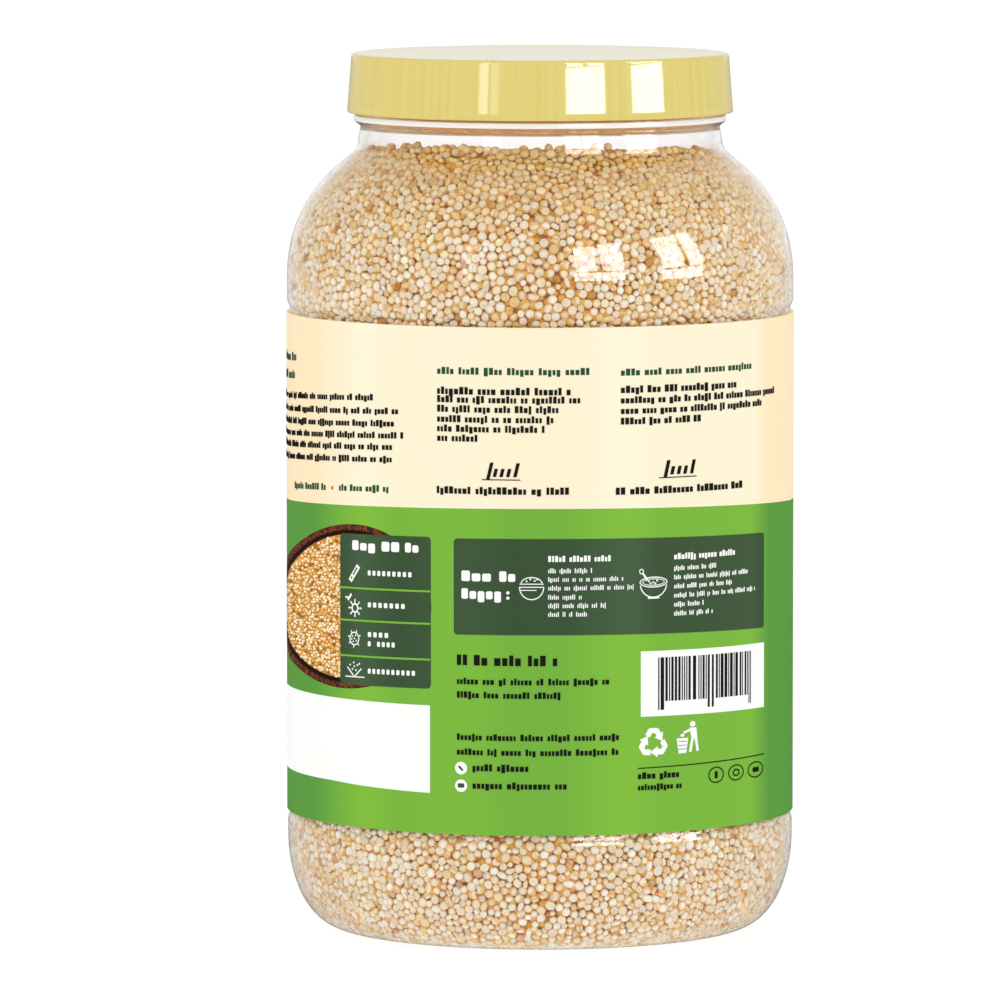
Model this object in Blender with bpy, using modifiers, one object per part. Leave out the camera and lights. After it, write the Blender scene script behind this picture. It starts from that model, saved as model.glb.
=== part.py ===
"""A clear plastic jar full of quinoa, with a yellow screw lid and a label round its body.

Four pieces, in metres, +Z up. The origin is on the axis, at the level of the jar's foot, and the
side of the label that is looked at faces -Y.
"""
import bpy
from math import atan2, cos, hypot, pi, radians, sin

# ---- the jar's outside, radii and heights
NECK_TOP_R = 0.03815      # just under the bead
NECK_TOP_Z = 0.1709
NECK_R = 0.03868          # where the neck starts to flare
NECK_Z = 0.1679
NECK_FILLET = 0.0033
SHOULDER_SLOPE = radians(40.4)   # of the straight cone between the neck and the shoulder
SHOULDER_R = 0.0435       # the cone's wide end
SHOULDER_REACH = 0.0066   # how far the curve follows the cone
BODY_R = 0.05384
BODY_Z = 0.1392           # the shoulder's curve ends here
BODY_REACH = 0.0109       # how far the curve follows the upright wall
PANEL_R = 0.0532          # the flat panel that the label sits in
PANEL_TOP = 0.1322
PANEL_FOOT = 0.0250
PANEL_EASE = 0.0022       # height of the step from the body to the panel
LOWER_R = 0.05375
CORNER_Z = 0.0200         # the lower corner starts here
FOOT_R = 0.0401           # and ends here, on the flat foot
CORNER_POWER_R = 2.40
CORNER_POWER_Z = 1.93
FOOT_WIDTH = 0.0055       # of the flat ring that the jar stands on
PUSH_UP = 0.0050          # rise of the bottom inside the ring
WALL = 0.0007

# ---- the neck finish, under the lid
BEAD_R = 0.0395
BEAD_Z = 0.17235          # middle of the bead
BEAD_HALF = 0.00105
FINISH_R = 0.03775
FINISH_WALL = 0.0012
RIM_Z = 0.1848
THREAD_R = 0.03885
THREAD_Z = (0.1772, 0.1815)   # middle of each turn
THREAD_HALF = 0.0009

# ---- the lid
LID_R = 0.0410            # at its open end
LID_TOP_R = 0.0401        # under the rounded edge
LID_Z = 0.17385
LID_TOP = 0.18645
LID_ROUND = 0.0011
LID_FOOT_ROUND = 0.0004
LID_SKIRT = 0.0013
LID_PLATE = 0.0013

# ---- the label
LABEL_R = 0.05395
LABEL_THICK = 0.0003
LABEL_FOOT = 0.02545
LABEL_TOP = 0.1316

# ---- the quinoa
GAP = 0.0003              # between neighbours
FILL_FRONT = 0.1683       # its level at the front wall
FILL_TILT = radians(4.6)  # it lies lower at the back
FILL_LOW = 0.1560         # below this the surface follows the jar
FILL_RINGS = 5            # across the surface
FILL_STEPS = 7            # up the neck

SEGMENTS = 40


def bezier(p0, p1, p2, p3, steps):
    """Points of a cubic curve, both ends included."""
    points = []
    for i in range(steps + 1):
        t = i / steps
        a, b, c, d = (1 - t) ** 3, 3 * (1 - t) ** 2 * t, 3 * (1 - t) * t * t, t ** 3
        points.append((a * p0[0] + b * p1[0] + c * p2[0] + d * p3[0],
                       a * p0[1] + b * p1[1] + c * p2[1] + d * p3[1]))
    return points


def ease(r0, z0, r1, z1, steps):
    """A soft step between two upright walls."""
    return [(r0 + (r1 - r0) * (1 - cos(pi * i / steps)) / 2, z0 + (z1 - z0) * i / steps)
            for i in range(steps + 1)]


def wall_path():
    """The jar's outside as (radius, height), from under the bead down to the middle of the bottom."""
    path = [(NECK_TOP_R, NECK_TOP_Z), (NECK_R, NECK_Z)]
    turn = pi / 2 - SHOULDER_SLOPE
    for i in range(1, 4):
        a = turn * i / 3
        path.append((NECK_R + NECK_FILLET * (1 - cos(a)), NECK_Z - NECK_FILLET * sin(a)))
    r, z = path[-1]
    run = SHOULDER_R - r
    cone = (SHOULDER_R, z - run * sin(SHOULDER_SLOPE) / cos(SHOULDER_SLOPE))
    path += bezier(cone,
                   (cone[0] + SHOULDER_REACH * cos(SHOULDER_SLOPE), cone[1] - SHOULDER_REACH * sin(SHOULDER_SLOPE)),
                   (BODY_R, BODY_Z + BODY_REACH), (BODY_R, BODY_Z), 5)
    path += ease(BODY_R, PANEL_TOP + PANEL_EASE, PANEL_R, PANEL_TOP, 3)
    path += ease(PANEL_R, PANEL_FOOT, LOWER_R, PANEL_FOOT - PANEL_EASE / 2, 2)
    for i in range(0, 8):
        a = pi / 2 * i / 7
        path.append((FOOT_R + (LOWER_R - FOOT_R) * max(cos(a), 0.0) ** (2 / CORNER_POWER_R),
                     CORNER_Z * (1 - sin(a) ** (2 / CORNER_POWER_Z))))
    ring = FOOT_R - FOOT_WIDTH
    for i in range(0, 4):
        path.append((ring * (1 - i / 3), PUSH_UP * sin(pi / 2 * i / 3) ** 2))
    return path


def inset(path, depth):
    """The same path, moved by depth towards the jar's inside."""
    moved = []
    for i, (r, z) in enumerate(path):
        r0, z0 = path[max(i - 1, 0)]
        r1, z1 = path[min(i + 1, len(path) - 1)]
        dr, dz = r1 - r0, z1 - z0
        size = hypot(dr, dz)
        moved.append((r + depth * dz / size, z - depth * dr / size))
    r, z = path[-1]
    moved[-1] = (0.0, z + depth)
    return moved


def radius_at(path, height):
    """The radius of an upright stretch of a path at a height."""
    for (r0, z0), (r1, z1) in zip(path, path[1:]):
        if z0 >= height >= z1 and z0 > z1:
            return r0 + (r1 - r0) * (z0 - height) / (z0 - z1)
    return path[0][0]


def material(name, colour, roughness, metallic=0.0, **sockets):
    made = bpy.data.materials.new(name)
    made.use_nodes = True
    shader = made.node_tree.nodes["Principled BSDF"]
    shader.inputs["Base Color"].default_value = (*colour, 1.0)
    shader.inputs["Roughness"].default_value = roughness
    shader.inputs["Metallic"].default_value = metallic
    for socket, value in sockets.items():
        shader.inputs[socket.replace("_", " ")].default_value = value
    made.diffuse_color = (*colour, 1.0)
    return made


def turned(name, profile, collection, closed=False):
    """A solid turned about Z. The profile runs down its outer side."""
    mesh = bpy.data.meshes.new(name)
    edges = [(i, i + 1) for i in range(len(profile) - 1)]
    if closed:
        edges.append((len(profile) - 1, 0))
    mesh.from_pydata([(r, 0.0, z) for r, z in profile], edges, [])
    made = bpy.data.objects.new(name, mesh)
    collection.objects.link(made)
    screw = made.modifiers.new("Turn", "SCREW")
    screw.axis = "Z"
    screw.angle = 2 * pi
    screw.steps = screw.render_steps = SEGMENTS
    screw.use_merge_vertices = True
    screw.merge_threshold = 0.00001
    screw.use_smooth_shade = True
    return made


def fill_height(x, y):
    """The quinoa's uneven surface: it falls towards the back, with a low mound at the front."""
    level = FILL_FRONT - (y + NECK_R) * sin(FILL_TILT) / cos(FILL_TILT)
    level += 0.00055 * sin(x / 0.0081 + 0.6) * cos(y / 0.0105 - 0.4)
    level += 0.00030 * sin(x / 0.0043 - 1.1 + y / 0.0060)
    return level


def make_jar(collection):
    outside = wall_path()
    lining = inset(outside, WALL)
    bore = FINISH_R - FINISH_WALL
    inner = list(reversed(lining)) + [(bore, BEAD_Z + BEAD_HALF), (bore, RIM_Z)]
    finish = [(FINISH_R, RIM_Z)]
    for z in reversed(THREAD_Z):
        finish += [(FINISH_R, z + THREAD_HALF), (THREAD_R, z), (FINISH_R, z - THREAD_HALF)]
    finish.append((FINISH_R, BEAD_Z + BEAD_HALF))
    bead = [(BEAD_R - BEAD_HALF * (1 - sin(a)) * 0.8, BEAD_Z + BEAD_HALF * cos(a))
            for a in (radians(25), radians(60), radians(120), radians(155))]
    return turned("jar", inner + finish + bead + outside, collection)


def make_lid(collection):
    outer = [(0.0, LID_TOP)]
    for i in range(0, 4):
        a = pi / 2 * i / 3
        outer.append((LID_TOP_R - LID_ROUND * (1 - sin(a)), LID_TOP - LID_ROUND * (1 - cos(a))))
    outer.append((LID_R, LID_Z + LID_FOOT_ROUND))
    outer.append((LID_R - LID_FOOT_ROUND, LID_Z))
    skirt = LID_R - LID_SKIRT
    inside = [(skirt, LID_Z), (LID_TOP_R - LID_SKIRT, LID_TOP - LID_PLATE), (0.0, LID_TOP - LID_PLATE)]
    return turned("lid", outer + inside, collection)


def make_label(collection):
    inner = LABEL_R - LABEL_THICK
    ring = [(LABEL_R, LABEL_TOP), (LABEL_R, LABEL_FOOT), (inner, LABEL_FOOT), (inner, LABEL_TOP)]
    return turned("label", ring, collection, closed=True)


def make_quinoa(collection):
    """Everything inside the jar, up to the uneven surface that the grains lie to."""
    lining = inset(wall_path(), WALL + GAP)
    walls = [(r, z) for r, z in lining if z < FILL_LOW]
    edge = [FILL_FRONT - (FILL_FRONT - FILL_LOW) * i / FILL_STEPS for i in range(FILL_STEPS + 1)]
    top = [(radius_at(lining, FILL_FRONT) * i / FILL_RINGS, FILL_FRONT) for i in range(FILL_RINGS)]
    profile = top + [(radius_at(lining, z), z) for z in edge] + walls
    plain = turned("quinoa", profile, collection)
    view = bpy.context.evaluated_depsgraph_get()
    view.update()
    mesh = bpy.data.meshes.new_from_object(plain.evaluated_get(view))
    # each point above the lowest ring goes to the surface's own height and out to the jar there
    for point in mesh.vertices:
        x, y, z = point.co
        r = hypot(x, y)
        if z > FILL_FRONT - 0.00001:
            if r < radius_at(lining, FILL_FRONT) * (FILL_RINGS - 0.5) / FILL_RINGS:
                spread = radius_at(lining, fill_height(x, y)) / radius_at(lining, FILL_FRONT)
                point.co = (x * spread, y * spread, fill_height(x * spread, y * spread))
                continue
        if z > FILL_LOW + 0.00001:
            turn = atan2(y, x)
            share = (z - FILL_LOW) / (FILL_FRONT - FILL_LOW)
            rim = fill_height(r * cos(turn), r * sin(turn))
            for _ in range(3):
                reach = radius_at(lining, rim)
                rim = fill_height(reach * cos(turn), reach * sin(turn))
            height = FILL_LOW + (rim - FILL_LOW) * share
            reach = radius_at(lining, height)
            point.co = (reach * cos(turn), reach * sin(turn), height)
    made = bpy.data.objects.new("quinoa", mesh)
    bpy.data.objects.remove(plain)
    made.name = "quinoa"
    collection.objects.link(made)
    return made


def main():
    for old in list(bpy.data.objects):
        bpy.data.objects.remove(old)
    collection = bpy.data.collections.new("jar of quinoa")
    bpy.context.scene.collection.children.link(collection)

    jar = make_jar(collection)
    jar.data.materials.append(material("clear plastic", (0.92, 0.93, 0.92), 0.06, Transmission_Weight=0.9, IOR=1.52))
    lid = make_lid(collection)
    lid.data.materials.append(material("yellow plastic", (0.78, 0.64, 0.19), 0.32))
    label = make_label(collection)
    label.data.materials.append(material("printed label", (0.35, 0.60, 0.12), 0.35))
    quinoa = make_quinoa(collection)
    quinoa.data.materials.append(material("quinoa grain", (0.70, 0.55, 0.36), 0.6))

    for piece in (jar, lid, label):
        piece.data.set_sharp_from_angle(angle=radians(35))
    quinoa.data.shade_smooth()
    quinoa.data.set_sharp_from_angle(angle=radians(35))


main()
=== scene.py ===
"""Looks of the jar of quinoa: clear jar, yellow lid, printed label and the loose grains inside."""
from math import acos, asin, atan2, cos, degrees, hypot, pi, radians, sin, sqrt, tan

import bpy
import numpy as np
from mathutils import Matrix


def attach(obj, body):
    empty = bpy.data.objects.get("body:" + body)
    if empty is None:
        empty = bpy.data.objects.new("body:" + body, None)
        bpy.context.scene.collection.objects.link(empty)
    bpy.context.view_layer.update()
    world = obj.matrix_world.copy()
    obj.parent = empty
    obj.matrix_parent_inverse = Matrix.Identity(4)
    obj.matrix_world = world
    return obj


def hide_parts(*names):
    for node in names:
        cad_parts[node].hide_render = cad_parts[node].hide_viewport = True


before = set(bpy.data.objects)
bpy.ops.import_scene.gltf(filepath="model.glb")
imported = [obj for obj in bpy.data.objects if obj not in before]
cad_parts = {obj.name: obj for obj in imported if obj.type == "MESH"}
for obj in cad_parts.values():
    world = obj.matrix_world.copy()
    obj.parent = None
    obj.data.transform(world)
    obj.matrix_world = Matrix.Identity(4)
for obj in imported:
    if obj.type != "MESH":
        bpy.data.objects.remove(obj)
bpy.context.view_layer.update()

# ------------------------------------------------------------------ the jar's real sizes, as in the frame
NECK_TOP_R, NECK_TOP_Z = 0.03815, 0.1709
NECK_R, NECK_Z = 0.03868, 0.1679
NECK_FILLET = 0.0033
SHOULDER_SLOPE = radians(40.4)
SHOULDER_R, SHOULDER_REACH = 0.0435, 0.0066
BODY_R, BODY_Z, BODY_REACH = 0.05384, 0.1392, 0.0109
PANEL_R, PANEL_TOP, PANEL_FOOT, PANEL_EASE = 0.0532, 0.1322, 0.0250, 0.0022
FOOT_EASE = 0.0019
LOWER_R, CORNER_Z, FOOT_R = 0.05375, 0.0200, 0.0401
CORNER_POWER_R, CORNER_POWER_Z = 2.40, 1.93
FOOT_WIDTH, PUSH_UP, WALL = 0.0055, 0.0050, 0.0007
BEAD_R, BEAD_Z, BEAD_HALF = 0.0395, 0.17235, 0.00105
FINISH_R, FINISH_WALL, RIM_Z = 0.03775, 0.0012, 0.1848
LID_R, LID_TOP_R, LID_Z, LID_TOP = 0.0410, 0.0401, 0.17385, 0.18645
LABEL_R, LABEL_THICK, LABEL_FOOT, LABEL_TOP = 0.05395, 0.0003, 0.02545, 0.1316
FILL_FRONT, FILL_TILT = 0.1683, radians(4.6)

SOAK = 0.22


def linear(r, g, b):
    """A colour given in 0..255, made linear."""
    def one(c):
        c /= 255.0
        return c / 12.92 if c <= 0.04045 else ((c + 0.055) / 1.055) ** 2.4
    return (one(r), one(g), one(b))


# ------------------------------------------------------------------ meshes
def mesh_object(name, verts, faces, material, smooth=True, sharp=None, tint=None, slots=None):
    """An object from arrays. faces is a list of arrays with 3 or 4 columns."""
    verts = np.asarray(verts, np.float64)
    faces = [np.asarray(f, np.int64) for f in (faces if isinstance(faces, list) else [faces]) if len(f)]
    corners = np.concatenate([f.ravel() for f in faces])
    sizes = np.concatenate([np.full(len(f), f.shape[1]) for f in faces])
    starts = np.concatenate([[0], np.cumsum(sizes)[:-1]])
    me = bpy.data.meshes.new(name)
    me.vertices.add(len(verts))
    me.vertices.foreach_set("co", verts.astype(np.float32).ravel())
    me.loops.add(len(corners))
    me.loops.foreach_set("vertex_index", corners.astype(np.int32))
    me.polygons.add(len(sizes))
    me.polygons.foreach_set("loop_start", starts.astype(np.int32))
    me.polygons.foreach_set("loop_total", sizes.astype(np.int32))
    for m in (material if isinstance(material, (list, tuple)) else [material]):
        me.materials.append(m)
    if slots is not None:
        me.polygons.foreach_set("material_index", np.asarray(slots, np.int32))
    me.update(calc_edges=True)
    me.validate()
    me.polygons.foreach_set("use_smooth", np.full(len(me.polygons), smooth))
    if sharp is not None:
        me.set_sharp_from_angle(angle=radians(sharp))
    if tint is not None:
        layer = me.color_attributes.new("Tint", "FLOAT_COLOR", "POINT")
        rgba = np.ones((len(verts), 4), np.float32)
        rgba[:, :3] = tint
        layer.data.foreach_set("color", rgba.ravel())
    made = bpy.data.objects.new(name, me)
    bpy.context.scene.collection.objects.link(made)
    return made


def turned(profile, segments, closed=False):
    """Verts and faces of a profile of (r, z) turned about Z. It runs down the outer side."""
    angle = np.arange(segments) * 2 * pi / segments
    ca, sa = np.cos(angle), np.sin(angle)
    verts, rows = [], []
    for r, z in profile:
        first = len(verts) if not verts else sum(len(v) for v in verts)
        if r < 1e-7:
            verts.append(np.array([[0.0, 0.0, z]]))
            rows.append(np.full(segments, first))
        else:
            verts.append(np.stack([r * ca, r * sa, np.full(segments, z)], 1))
            rows.append(first + np.arange(segments))
    quads, tris = [], []
    pairs = list(zip(range(len(rows) - 1), range(1, len(rows))))
    if closed:
        pairs.append((len(rows) - 1, 0))
    for i, j in pairs:
        up, low = rows[i], rows[j]
        up2, low2 = np.roll(up, -1), np.roll(low, -1)
        if profile[i][0] < 1e-7:
            tris.append(np.stack([up, low, low2], 1))
        elif profile[j][0] < 1e-7:
            tris.append(np.stack([up, low, up2], 1))
        else:
            quads.append(np.stack([up, low, low2, up2], 1))
    faces = [np.concatenate(q) for q in (quads, tris) if q]
    return np.concatenate(verts), faces


def bezier(p0, p1, p2, p3, steps):
    out = []
    for i in range(steps + 1):
        t = i / steps
        a, b, c, d = (1 - t) ** 3, 3 * (1 - t) ** 2 * t, 3 * (1 - t) * t * t, t ** 3
        out.append((a * p0[0] + b * p1[0] + c * p2[0] + d * p3[0], a * p0[1] + b * p1[1] + c * p2[1] + d * p3[1]))
    return out


def ease(r0, z0, r1, z1, steps):
    return [(r0 + (r1 - r0) * (1 - cos(pi * i / steps)) / 2, z0 + (z1 - z0) * i / steps) for i in range(steps + 1)]


def wall_path(fine=1.0):
    """The jar's outside as (radius, height), from under the bead down to the middle of the bottom."""
    n = lambda k: max(2, int(round(k * fine)))
    path = [(NECK_TOP_R, NECK_TOP_Z)]
    steps = n(3)
    path += [(NECK_TOP_R + (NECK_R - NECK_TOP_R) * i / steps, NECK_TOP_Z + (NECK_Z - NECK_TOP_Z) * i / steps)
             for i in range(1, steps + 1)]
    turn, steps = pi / 2 - SHOULDER_SLOPE, n(6)
    path += [(NECK_R + NECK_FILLET * (1 - cos(turn * i / steps)), NECK_Z - NECK_FILLET * sin(turn * i / steps))
             for i in range(1, steps + 1)]
    r, z = path[-1]
    cone = (SHOULDER_R, z - (SHOULDER_R - r) * tan(SHOULDER_SLOPE))
    path += bezier(cone, (cone[0] + SHOULDER_REACH * cos(SHOULDER_SLOPE), cone[1] - SHOULDER_REACH * sin(SHOULDER_SLOPE)),
                   (BODY_R, BODY_Z + BODY_REACH), (BODY_R, BODY_Z), n(14))
    path += ease(BODY_R, PANEL_TOP + PANEL_EASE, PANEL_R, PANEL_TOP, n(6))
    path += ease(PANEL_R, PANEL_FOOT + 0.0002, LOWER_R, PANEL_FOOT - FOOT_EASE, n(6))
    steps = n(20)
    for i in range(steps + 1):
        a = pi / 2 * i / steps
        path.append((FOOT_R + (LOWER_R - FOOT_R) * max(cos(a), 0.0) ** (2 / CORNER_POWER_R),
                     CORNER_Z * (1 - sin(a) ** (2 / CORNER_POWER_Z))))
    ring, steps = FOOT_R - FOOT_WIDTH, n(9)
    path += [(ring * (1 - i / steps), PUSH_UP * sin(pi / 2 * i / steps) ** 2) for i in range(steps + 1)]
    return path


def inset(path, depth):
    """The same path, moved by depth towards the jar's inside."""
    out = []
    for i, (r, z) in enumerate(path):
        r0, z0 = path[max(i - 1, 0)]
        r1, z1 = path[min(i + 1, len(path) - 1)]
        dr, dz = r1 - r0, z1 - z0
        size = hypot(dr, dz)
        out.append((r + depth * dz / size, z - depth * dr / size))
    out[-1] = (0.0, path[-1][1] + depth)
    return out


def fill_height(x, y):
    """The quinoa's uneven surface, as in the frame's solid."""
    return (FILL_FRONT - (y + NECK_R) * tan(FILL_TILT)
            + 0.00055 * np.sin(x / 0.0081 + 0.6) * np.cos(y / 0.0105 - 0.4)
            + 0.00030 * np.sin(x / 0.0043 - 1.1 + y / 0.0060))


# ------------------------------------------------------------------ materials
def new_material(name):
    m = bpy.data.materials.new(name)
    m.use_nodes = True
    tree = m.node_tree
    tree.nodes.clear()
    out = tree.nodes.new("ShaderNodeOutputMaterial")
    return m, tree, out


def node(tree, kind, **values):
    made = tree.nodes.new(kind)
    for key, value in values.items():
        if key in made.inputs:
            made.inputs[key].default_value = value
        else:
            setattr(made, key, value)
    return made


def pet_material():
    """Clear plastic that lets the studio's light through to the grains."""
    m, tree, out = new_material("clear_plastic")
    glass = node(tree, "ShaderNodeBsdfPrincipled")
    glass.inputs["Base Color"].default_value = (1.0, 1.0, 1.0, 1)
    glass.inputs["Roughness"].default_value = 0.02
    glass.inputs["IOR"].default_value = 1.46
    glass.inputs["Transmission Weight"].default_value = 1.0
    # faint waviness of blown plastic
    where = node(tree, "ShaderNodeTexCoord")
    wave = node(tree, "ShaderNodeTexNoise")
    wave.inputs["Scale"].default_value = 55.0
    wave.inputs["Detail"].default_value = 1.5
    bump = node(tree, "ShaderNodeBump")
    bump.inputs["Strength"].default_value = 0.06
    bump.inputs["Distance"].default_value = 0.0004
    tree.links.new(where.outputs["Object"], wave.inputs["Vector"])
    tree.links.new(wave.outputs["Fac"], bump.inputs["Height"])
    tree.links.new(bump.outputs["Normal"], glass.inputs["Normal"])
    clear = node(tree, "ShaderNodeBsdfTransparent")
    clear.inputs["Color"].default_value = (0.99, 0.99, 0.985, 1)
    path = node(tree, "ShaderNodeLightPath")
    either = node(tree, "ShaderNodeMath", operation="MAXIMUM")
    tree.links.new(path.outputs["Is Shadow Ray"], either.inputs[0])
    tree.links.new(path.outputs["Is Diffuse Ray"], either.inputs[1])
    mix = node(tree, "ShaderNodeMixShader")
    tree.links.new(either.outputs[0], mix.inputs[0])
    tree.links.new(glass.outputs[0], mix.inputs[1])
    tree.links.new(clear.outputs[0], mix.inputs[2])
    tree.links.new(mix.outputs[0], out.inputs["Surface"])
    return m


def bead_highlight_material():
    """The outermost edge of the transfer bead, made frosted white and faintly glowing: a painted highlight for the
    white line along the bead.
    """
    m, tree, out = new_material("bead_painted_highlight")
    shader = node(tree, "ShaderNodeBsdfPrincipled")
    shader.inputs["Base Color"].default_value = (0.99, 0.99, 0.985, 1)
    shader.inputs["Emission Color"].default_value = (1.0, 1.0, 1.0, 1)
    shader.inputs["Emission Strength"].default_value = 0.08
    shader.inputs["Roughness"].default_value = 0.22
    shader.inputs["Transmission Weight"].default_value = 0.10
    tree.links.new(shader.outputs[0], out.inputs["Surface"])
    return m


def lid_material():
    """Glossy yellow moulded plastic, with faint upright streaks painted into its colour as reflections."""
    m, tree, out = new_material("yellow_plastic")
    shader = node(tree, "ShaderNodeBsdfPrincipled")
    shader.inputs["IOR"].default_value = 1.55
    shader.inputs["Roughness"].default_value = 0.06
    shader.inputs["Specular IOR Level"].default_value = 0.95
    where = node(tree, "ShaderNodeTexCoord")
    part = node(tree, "ShaderNodeSeparateXYZ")
    round_ = node(tree, "ShaderNodeMath", operation="ARCTAN2")
    join = node(tree, "ShaderNodeCombineXYZ")
    tree.links.new(where.outputs["Object"], part.inputs[0])
    tree.links.new(part.outputs["X"], round_.inputs[0])
    tree.links.new(part.outputs["Y"], round_.inputs[1])
    # no streaks on the flat top
    up = node(tree, "ShaderNodeSeparateXYZ")
    flat = node(tree, "ShaderNodeMapRange")
    for key, value in (("From Min", 0.4), ("From Max", 0.9), ("To Min", 1.0), ("To Max", 0.0)):
        flat.inputs[key].default_value = value
    tree.links.new(where.outputs["Normal"], up.inputs[0])
    tree.links.new(up.outputs["Z"], flat.inputs["Value"])
    sides = node(tree, "ShaderNodeMath", operation="MULTIPLY")
    tree.links.new(round_.outputs[0], sides.inputs[0])
    tree.links.new(flat.outputs["Result"], sides.inputs[1])
    tree.links.new(sides.outputs[0], join.inputs["X"])
    # painted reflections: lighter and darker upright streaks in the base colour
    streak = node(tree, "ShaderNodeTexNoise")
    streak.inputs["Scale"].default_value = 26.0
    streak.inputs["Detail"].default_value = 5.0
    streak.inputs["Roughness"].default_value = 0.62
    tree.links.new(join.outputs[0], streak.inputs["Vector"])
    ramp = node(tree, "ShaderNodeValToRGB")
    ramp.color_ramp.elements[0].position = 0.34
    ramp.color_ramp.elements[0].color = (*linear(230, 211, 116), 1)
    ramp.color_ramp.elements[1].position = 0.68
    ramp.color_ramp.elements[1].color = (*linear(238, 221, 137), 1)
    tree.links.new(streak.outputs["Fac"], ramp.inputs["Fac"])
    tree.links.new(ramp.outputs["Color"], shader.inputs["Base Color"])
    grain = node(tree, "ShaderNodeTexNoise")
    grain.inputs["Scale"].default_value = 900.0
    grain.inputs["Detail"].default_value = 2.0
    bump = node(tree, "ShaderNodeBump")
    bump.inputs["Strength"].default_value = 0.03
    bump.inputs["Distance"].default_value = 0.0001
    tree.links.new(where.outputs["Object"], grain.inputs["Vector"])
    tree.links.new(grain.outputs["Fac"], bump.inputs["Height"])
    tree.links.new(bump.outputs["Normal"], shader.inputs["Normal"])
    tree.links.new(shader.outputs[0], out.inputs["Surface"])
    return m


def print_material(name, colour, painted_light_stops=None, roughness=0.6, level=0.04, streaks=None):
    """Ink on the label. The stops by angle round the jar paint light and shade on it; streaks add a second colour."""
    m, tree, out = new_material(name)
    shader = node(tree, "ShaderNodeBsdfPrincipled")
    shader.inputs["Base Color"].default_value = (*colour, 1)
    shader.inputs["Roughness"].default_value = roughness
    shader.inputs["Specular IOR Level"].default_value = level
    tree.links.new(shader.outputs[0], out.inputs["Surface"])
    where = node(tree, "ShaderNodeTexCoord")
    if streaks:
        noise = node(tree, "ShaderNodeTexNoise")
        noise.inputs["Scale"].default_value = 950.0
        noise.inputs["Detail"].default_value = 3.0
        ramp = node(tree, "ShaderNodeValToRGB")
        ramp.color_ramp.elements[0].position, ramp.color_ramp.elements[1].position = 0.42, 0.66
        ramp.color_ramp.elements[0].color, ramp.color_ramp.elements[1].color = (*colour, 1), (*streaks, 1)
        tree.links.new(where.outputs["Object"], noise.inputs["Vector"])
        tree.links.new(noise.outputs["Fac"], ramp.inputs["Fac"])
        tree.links.new(ramp.outputs["Color"], shader.inputs["Base Color"])
    if painted_light_stops:
        part = node(tree, "ShaderNodeSeparateXYZ")
        tree.links.new(where.outputs["Object"], part.inputs[0])
        flip = node(tree, "ShaderNodeMath", operation="MULTIPLY")
        flip.inputs[1].default_value = -1.0
        tree.links.new(part.outputs["Y"], flip.inputs[0])
        round_ = node(tree, "ShaderNodeMath", operation="ARCTAN2")
        tree.links.new(part.outputs["X"], round_.inputs[0])
        tree.links.new(flip.outputs[0], round_.inputs[1])
        spread = node(tree, "ShaderNodeMapRange")
        spread.inputs["From Min"].default_value = -pi
        spread.inputs["From Max"].default_value = pi
        tree.links.new(round_.outputs[0], spread.inputs["Value"])
        ramp = node(tree, "ShaderNodeValToRGB")
        while len(ramp.color_ramp.elements) < len(painted_light_stops):
            ramp.color_ramp.elements.new(0.5)
        for element, (angle, shade) in zip(ramp.color_ramp.elements, painted_light_stops):
            element.position = (angle + 180) / 360
        for element, (angle, shade) in zip(ramp.color_ramp.elements, painted_light_stops):
            element.color = (*shade, 1)
        tree.links.new(spread.outputs["Result"], ramp.inputs["Fac"])
        tree.links.new(ramp.outputs["Color"], shader.inputs["Base Color"])
    return m


def grain_material(name, roughness=0.5, soak=0.0):
    """Quinoa: the tint of each grain, which holds painted shade at its edges, with a fine mottle and a pitted skin."""
    m, tree, out = new_material(name)
    shader = node(tree, "ShaderNodeBsdfPrincipled")
    shader.inputs["Roughness"].default_value = roughness
    shader.inputs["Specular IOR Level"].default_value = 0.2
    if soak:
        shader.inputs["Subsurface Weight"].default_value = soak
        shader.inputs["Subsurface Radius"].default_value = (1.0, 0.66, 0.36)
        shader.inputs["Subsurface Scale"].default_value = 0.0009
    tint = node(tree, "ShaderNodeAttribute", attribute_name="Tint")
    where = node(tree, "ShaderNodeTexCoord")
    noise = node(tree, "ShaderNodeTexNoise")
    noise.inputs["Scale"].default_value = 1300.0
    noise.inputs["Detail"].default_value = 3.0
    tree.links.new(where.outputs["Object"], noise.inputs["Vector"])
    tone = node(tree, "ShaderNodeMapRange")
    tone.inputs["From Min"].default_value = 0.3
    tone.inputs["From Max"].default_value = 0.7
    tone.inputs["To Min"].default_value = 0.92
    tone.inputs["To Max"].default_value = 1.06
    tree.links.new(noise.outputs["Fac"], tone.inputs["Value"])
    mix = node(tree, "ShaderNodeMix", data_type="RGBA", blend_type="MULTIPLY")
    mix.inputs["Factor"].default_value = 1.0
    tree.links.new(tint.outputs["Color"], mix.inputs["A"])
    tree.links.new(tone.outputs["Result"], mix.inputs["B"])
    tree.links.new(mix.outputs["Result"], shader.inputs["Base Color"])
    bump = node(tree, "ShaderNodeBump")
    bump.inputs["Strength"].default_value = 0.25
    bump.inputs["Distance"].default_value = 0.0001
    tree.links.new(noise.outputs["Fac"], bump.inputs["Height"])
    tree.links.new(bump.outputs["Normal"], shader.inputs["Normal"])
    tree.links.new(shader.outputs[0], out.inputs["Surface"])
    return m


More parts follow.
